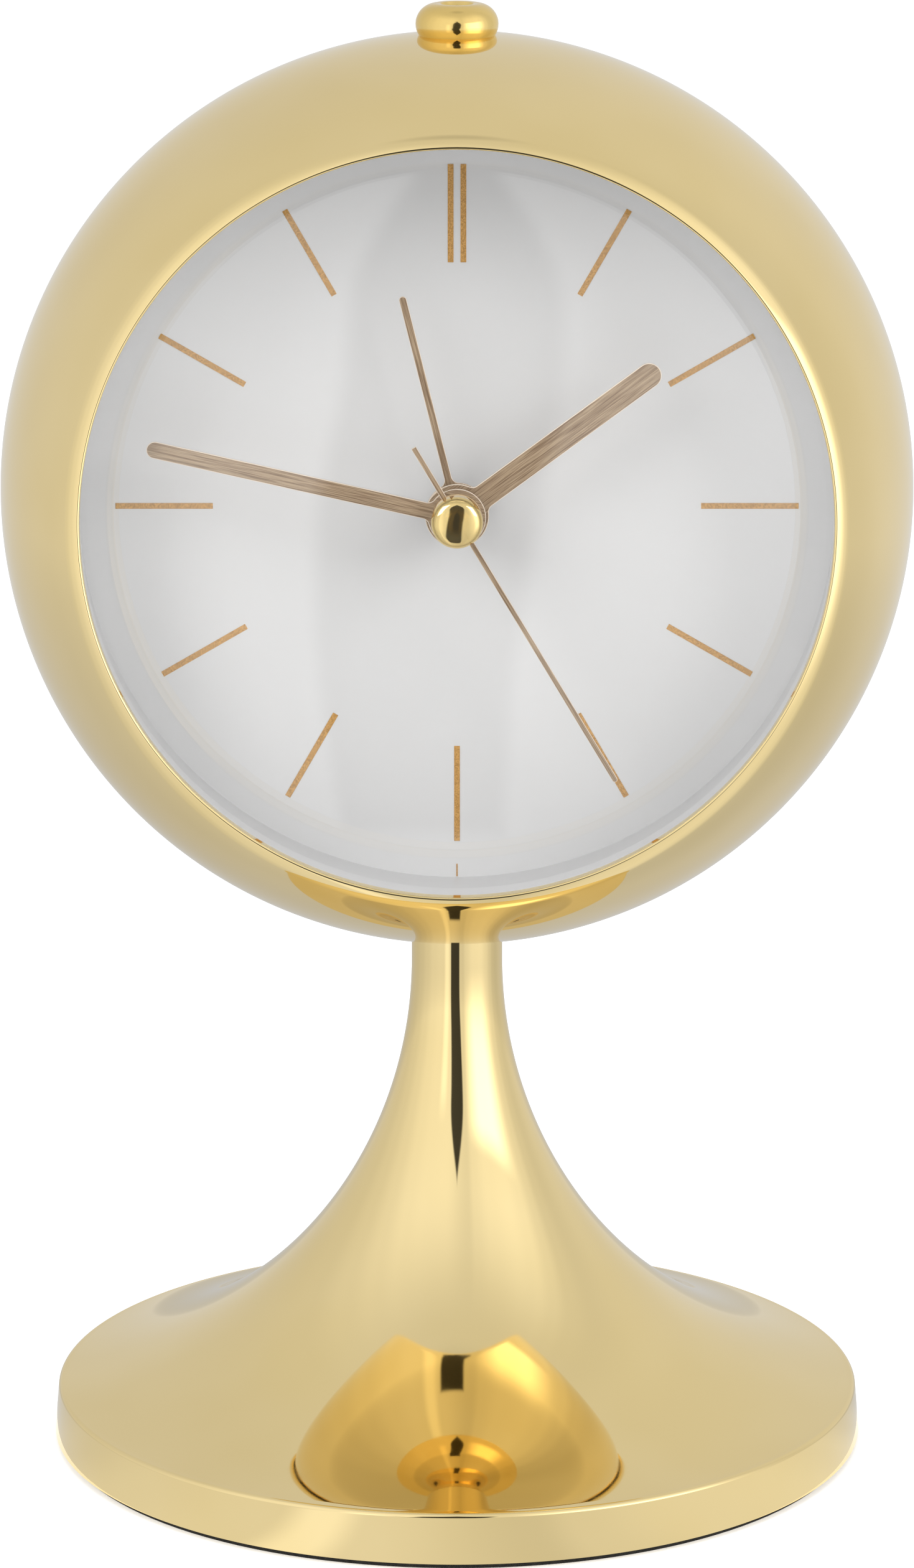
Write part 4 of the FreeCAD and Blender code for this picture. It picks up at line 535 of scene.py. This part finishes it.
def smooth(item, degrees=30.0):
    choose(item)
    bpy.ops.object.shade_smooth_by_angle(angle=math.radians(degrees))


def sphere_depth(radius, reach):
    """How far out a sphere's surface is at that distance from its axis."""
    return math.sqrt(radius ** 2 - reach ** 2)


# ---------------------------------------------------------------- pieces


def spun_ball():
    """The ball as it is spun: it rolls over at the lip in a 4 mm bend, which gathers the light in a
    band round the glass, and its edge is broken by a small rounding."""
    bend, edge, lip_slope = 4.0, 0.25, math.radians(22.0)
    button_hole, button_span, rod_span = 4.5, (150.0, 190.0), (55.0, 80.0)
    lip_end = LIP_DEPTH - LIP_FOLD
    middle = LIP_RADIUS - bend * math.sin(lip_slope)
    middle_depth = sphere_depth(BALL - bend, middle)
    edge_reach = LIP_RADIUS + edge
    edge_depth = middle_depth + sphere_depth(bend - edge, edge_reach - middle)
    # Both bends touch where a line through their centres meets them
    grow = bend / (bend - edge)
    meets = (middle + (edge_reach - middle) * grow, middle_depth + (edge_depth - middle_depth) * grow)
    share = BALL / (BALL - bend)
    inner = BALL - BALL_WALL
    wall_reach = LIP_RADIUS + BALL_WALL
    centre = (0.0, 0.0)
    ball = lathe("ball_skin", (LIP_RADIUS, lip_end), (
        ((LIP_RADIUS, edge_depth),),
        (meets, (edge_reach, edge_depth), 8),
        ((middle * share, middle_depth * share), (middle, middle_depth), 28),
        ((REAR_RADIUS, -REAR_DEPTH), centre, 90),
        ((REAR_RADIUS, -sphere_depth(inner, REAR_RADIUS)),),
        ((wall_reach, sphere_depth(inner, wall_reach)), centre, 40),
        ((wall_reach, lip_end),),
        ((LIP_RADIUS, lip_end),),
    ))
    ball.data.transform(FACE_AXES)
    bore(ball, button_hole, *button_span)
    bore(ball, ROD_HOLE, *rod_span)
    smooth(ball)
    finish_piece(ball, "ball_skin", "case", body_gold)
    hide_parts("case_shell")


def trumpet_foot():
    """The foot as it is spun and polished: a sweep of one radius from the stem to a drafted rim,
    hollow below for the ballast and the closing plate."""
    flare, stem, foot, draft, rim_height, rim_round = 55.3, 5.58, 50.25, 0.5, 6.9, 0.6
    skirt_low, plate_reach, plate_top, land = 0.8, 49.05, 1.8, 2.0
    wall_top, hollow_top, hollow_reach, core_reach, core_top = 5.4, 15.2, 24.0, 9.0, 33.0
    rim_reach = foot - draft - rim_round
    flare_start = rim_height + sphere_depth(flare, stem + flare - rim_reach)
    # The ball sits in a cup at the top of the stem
    cup = BALL + SEAT_GAP
    cup_centre = (0.0, BALL_HEIGHT)
    top = (ROD_HOLE, BALL_HEIGHT - sphere_depth(cup, ROD_HOLE))
    piece = lathe("foot_skin", top, (
        ((stem, BALL_HEIGHT - sphere_depth(cup, stem)), cup_centre, 6),
        ((stem, flare_start),),
        ((rim_reach, rim_height), (stem + flare, flare_start), 110),
        ((rim_reach + rim_round, rim_height - rim_round), (rim_reach, rim_height - rim_round), 12),
        ((foot, skirt_low),),
        ((plate_reach, skirt_low),),
        ((plate_reach, plate_top),),
        ((plate_reach - land, plate_top),),
        ((plate_reach - land, wall_top),),
        ((hollow_reach, hollow_top),),
        ((core_reach, core_top),),
        ((ROD_HOLE, core_top),),
        (top,),
    ))
    smooth(piece)
    finish_piece(piece, "foot_skin", "case", body_gold)
    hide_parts("pedestal")


def domed_glass():
    """The pressed dome with its flat flange, fine enough to give a clean image."""
    back, thick, rise = 23.3, 1.9, 6.3
    dome = LIP_RADIUS + 0.3
    flange = LIP_RADIUS + 3.1
    front = back + thick
    curve = (dome ** 2 + rise ** 2) / (2 * rise)
    glass = lathe("glass_dome", (0.0, back + rise), (
        ((dome, back), (0.0, back + rise - curve), 60),
        ((flange, back),),
        ((flange, front),),
        ((dome, front),),
        ((0.0, front + rise), (0.0, front + rise - curve), 60),
    ))
    glass.data.transform(FACE_AXES)
    smooth(glass)
    finish_piece(glass, "glass_dome", "case", clear_glass)
    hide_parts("glass")


def second_cap():
    """The polished cap over the hub: a short skirt, a rounded shoulder and a shallow crown, with a
    blind hole for the arbor."""
    floor, reach, skirt, shoulder, crown = 24.75, 3.02, 2.45, 1.2, 9.5
    arbor, arbor_deep = 0.5, 1.3
    inner = reach - shoulder
    slope = math.asin(inner / (crown - shoulder))
    crown_centre = (0.0, floor + skirt - (crown - shoulder) * math.cos(slope))
    meets = (crown * math.sin(slope), crown_centre[1] + crown * math.cos(slope))
    cap = lathe("cap_skin", (0.0, floor + arbor_deep), (
        ((arbor, floor + arbor_deep),),
        ((arbor, floor),),
        ((reach, floor),),
        ((reach, floor + skirt),),
        (meets, (inner, floor + skirt), 14),
        ((0.0, crown_centre[1] + crown), crown_centre, 14),
    ), turns=128)
    cap.data.transform(FACE_AXES)
    smooth(cap, 40.0)
    finish_piece(cap, "cap_skin", "seconds", cap_gold)
    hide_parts("hand_cap")


def pressed_hand(node, body, turn, width):
    """A hand welded from its solid, with the press's edge bevelled all round it: bare aluminium whose pale
    colour is also a painted highlight.
    """
    item = bpy.data.objects.new(node + "_pressed", nodes[node].data.copy())
    bpy.context.scene.collection.objects.link(item)
    choose(item)
    bpy.ops.object.mode_set(mode="EDIT")
    bpy.ops.mesh.select_all(action="SELECT")
    bpy.ops.mesh.remove_doubles(threshold=WELD * MM)
    bpy.ops.mesh.dissolve_limited(angle_limit=math.radians(1.0))
    bpy.ops.object.mode_set(mode="OBJECT")
    item.data.materials.clear()
    item.data.materials.append(brushed_bronze("brushed_bronze_" + node, turn))
    item.data.materials.append(edge_metal_and_highlight)
    for face in item.data.polygons:
        face.material_index = 0
    rounding = item.modifiers.new("edge", "BEVEL")
    rounding.width = width * MM
    rounding.segments = 2
    rounding.limit_method = "ANGLE"
    rounding.angle_limit = math.radians(40.0)
    # The bevel takes the pale edge finish: bare aluminium, and a painted highlight round the hand
    rounding.material = 1
    bpy.ops.object.modifier_apply(modifier=rounding.name)
    smooth(item)
    item.data.name = item.name
    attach(item, body)
    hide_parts(node)


def raised_word(name, words, across, up, tall):
    """A word that stands 0.3 mm proud of the back cover. It's read from behind."""
    half_deep, edge, offset, middle = 0.15, 0.05, 0.04, 0.1
    # Capitals are about 0.7 of a font's size
    size = tall * 1.4
    deselect()
    bpy.ops.object.text_add()
    item = bpy.context.object
    item.data.body = words
    item.data.align_x = "CENTER"
    item.data.align_y = "CENTER"
    item.data.size = size * MM
    item.data.extrude = half_deep * MM
    item.data.bevel_depth = edge * MM
    item.data.resolution_u = 3
    item.data.offset = offset * MM
    bpy.ops.object.convert(target="MESH")
    item = bpy.context.object
    item.data.transform(Matrix.Translation((-across * MM, up * MM, (COVER_FACE + middle) * MM)))
    item.data.transform(BACK_AXES)
    finish_piece(item, name, "case", black_gloss)


spun_ball()
trumpet_foot()
domed_glass()
second_cap()
for hand in HANDS:
    pressed_hand(*hand)
for word in WORDS:
    raised_word(*word)


# ---------------------------------------------------------------- camera


camera_data = bpy.data.cameras.new("camera")
camera_data.sensor_fit = "AUTO"
camera_data.sensor_width = CAMERA_FILM
camera_data.lens = CAMERA_LENS
camera = bpy.data.objects.new("camera", camera_data)
camera.location = CAMERA_PLACE
camera.rotation_euler = (math.radians(CAMERA_TILT), 0.0, 0.0)
bpy.context.scene.collection.objects.link(camera)
bpy.context.scene.camera = camera
bpy.context.scene.view_settings.view_transform = "Standard"


# ---------------------------------------------------------------- studio


def background_share(tree):
    """1 for the rays that see the background: straight, in a mirror or through glass."""
    path = add(tree, "LightPath").outputs
    seen = math_node(tree, "MAXIMUM", path["Is Camera Ray"], path["Is Glossy Ray"])
    return math_node(tree, "MAXIMUM", seen, path["Is Transmission Ray"])


def white_room():
    """Even soft light from all round, and a white background."""
    world = bpy.data.worlds.new("studio")
    bpy.context.scene.world = world
    world.use_nodes = True
    room = world.node_tree
    room.nodes.clear()
    soft_light = add(room, "Background", {"Color": WHITE, "Strength": ROOM_LEVEL})
    white_wall = add(room, "Background", {"Color": WHITE, "Strength": 1.0})
    mix = add(room, "MixShader", {
        0: background_share(room), 1: soft_light.outputs["Background"], 2: white_wall.outputs["Background"],
    })
    add(room, "OutputWorld", {"Surface": mix.outputs["Shader"]})


def lamp(name, place, aim_height, side, power):
    """A soft box: a square lamp that faces the clock. Mirrors see the tent and not the lamp."""
    data = bpy.data.lights.new(name, "AREA")
    data.shape = "SQUARE"
    data.size = side
    data.energy = power
    item = bpy.data.objects.new(name, data)
    item.location = place
    item.rotation_mode = "QUATERNION"
    item.rotation_quaternion = (Vector((0, 0, aim_height)) - Vector(place)).to_track_quat("-Z", "Y")
    item.visible_glossy = False
    bpy.context.scene.collection.objects.link(item)


def white_floor():
    """A matt white floor, lifted to the white of the background where it is seen."""
    paint, tree, place = start_material("matt_white_sweep")
    weave = noise(tree, place, 350, 2.0)
    matt = add(tree, "BsdfDiffuse", {"Color": blend_colours(tree, weave, "#E9E9E9", "#EDEDED")})
    lift = add(tree, "Emission", {"Color": WHITE, "Strength": FLOOR_LIFT})
    both = add(tree, "AddShader", {0: matt.outputs["BSDF"], 1: lift.outputs["Emission"]})
    mix = add(tree, "MixShader", {
        0: background_share(tree), 1: matt.outputs["BSDF"], 2: both.outputs["Shader"],
    })
    add(tree, "OutputMaterial", {"Surface": mix.outputs["Shader"]})
    deselect()
    bpy.ops.mesh.primitive_circle_add(vertices=64, radius=FLOOR_RADIUS, fill_type="NGON", location=(0, 0, 0))
    floor = bpy.context.object
    floor.name = "sweep"
    floor.data.materials.append(paint)


def tent_fabric():
    """White tent fabric, lit from outside: bright towards the front corners and pale grey behind,
    with a soft box shining through at the right and the open slot that the camera looks through."""
    material, tree, place = start_material("lit_tent_fabric")

    def number(kind, *values):
        return math_node(tree, kind, *values)

    def step(value, start, end, low=0.0, high=1.0):
        """A soft step from low to high."""
        links = {"Value": value, "From Min": start, "From Max": end, "To Min": low, "To Max": high}
        return add(tree, "MapRange", links, interpolation_type="SMOOTHSTEP").outputs["Result"]

    def fall(value, start, end):
        return step(value, start, end, 1.0, 0.0)

    def hump(value, rises, falls):
        return number("MULTIPLY", step(value, *rises), fall(value, *falls))

    spot = add(tree, "SeparateXYZ", {"Vector": place}).outputs
    degrees = 180 / math.pi
    forward = number("MULTIPLY", spot["Y"], -1.0)
    turn = number("MULTIPLY", number("ARCTAN2", spot["X"], forward), degrees)
    reach = number("SQRT", number("ADD", number("POWER", spot["X"], 2.0), number("POWER", forward, 2.0)))
    rise = number("SUBTRACT", spot["Z"], TENT_EYE)
    climb = number("MULTIPLY", number("ARCTAN2", rise, reach), degrees)

    ramp = add(tree, "ValToRGB", {"Fac": number("ADD", number("DIVIDE", turn, 360.0), 0.5)})
    stops = ramp.color_ramp
    stops.interpolation = "EASE"
    while len(stops.elements) < len(TENT_LEVELS):
        stops.elements.new(0.5)
    for stop, (angle, brightness) in zip(stops.elements, TENT_LEVELS):
        stop.position = angle / 360 + 0.5
        stop.color = (brightness / FULL_LEVEL,) * 3 + (1.0,)
    round_about = number("MULTIPLY", ramp.outputs["Color"], FULL_LEVEL)
    crown = step(climb, *CROWN)
    level = number(
        "ADD", number("MULTIPLY", round_about, number("SUBTRACT", 1.0, crown)),
        number("MULTIPLY", crown, CROWN_LEVEL),
    )
    box = number("MULTIPLY", hump(turn, *BOX_ACROSS), hump(climb, *BOX_UP))
    level = number("ADD", level, number("MULTIPLY", box, BOX_LEVEL))
    strip = number("MULTIPLY", hump(turn, *STRIP_ACROSS), fall(climb, *STRIP_TOP))
    level = number("ADD", level, number("MULTIPLY", strip, STRIP_LEVEL))
    middle = step(climb, *SLOT_LEAN)
    half = step(climb, *SLOT_CLOSE)
    off = number("SUBTRACT", number("ABSOLUTE", number("SUBTRACT", turn, middle)), half)
    slot = step(off, -SLOT_EDGE, SLOT_EDGE, SLOT_LEVEL, 1.0)
    level = number("MULTIPLY", level, number("MAXIMUM", slot, fall(reach, *LIT_FLOOR)))
    level = number("MULTIPLY", level, step(reach, *FOOT_SHADE, SHADE_LEVEL, 1.0))
    glow = add(tree, "Emission", {"Color": WHITE, "Strength": level})
    add(tree, "OutputMaterial", {"Surface": glow.outputs["Emission"]})
    return material


def light_tent():
    """Half a sphere and a floor round the clock. Only mirrors and glass see it."""
    deselect()
    bpy.ops.mesh.primitive_uv_sphere_add(segments=96, ring_count=48, radius=TENT_RADIUS, location=(0, 0, 0))
    item = bpy.context.object
    made = bmesh.new()
    made.from_mesh(item.data)
    bmesh.ops.bisect_plane(
        made, geom=made.verts[:] + made.edges[:] + made.faces[:],
        plane_co=(0, 0, TENT_FLOOR), plane_no=(0, 0, -1), clear_outer=True,
    )
    # The floor is drawn inwards from the cut, to a hole round the foot
    rim = [edge for edge in made.edges if edge.is_boundary]
    for part in bmesh.ops.extrude_edge_only(made, edges=rim)["geom"]:
        if isinstance(part, bmesh.types.BMVert):
            flat = Vector((part.co.x, part.co.y, 0)).normalized() * TENT_HOLE
            part.co = (flat.x, flat.y, TENT_FLOOR)
    made.to_mesh(item.data)
    made.free()
    item.name = "light_tent"
    item.data.materials.append(tent_fabric())
    item.visible_camera = False
    item.visible_diffuse = False
    item.visible_shadow = False
    item.visible_volume_scatter = False


white_room()
for setting in LAMPS:
    lamp(*setting)
white_floor()
light_tent()
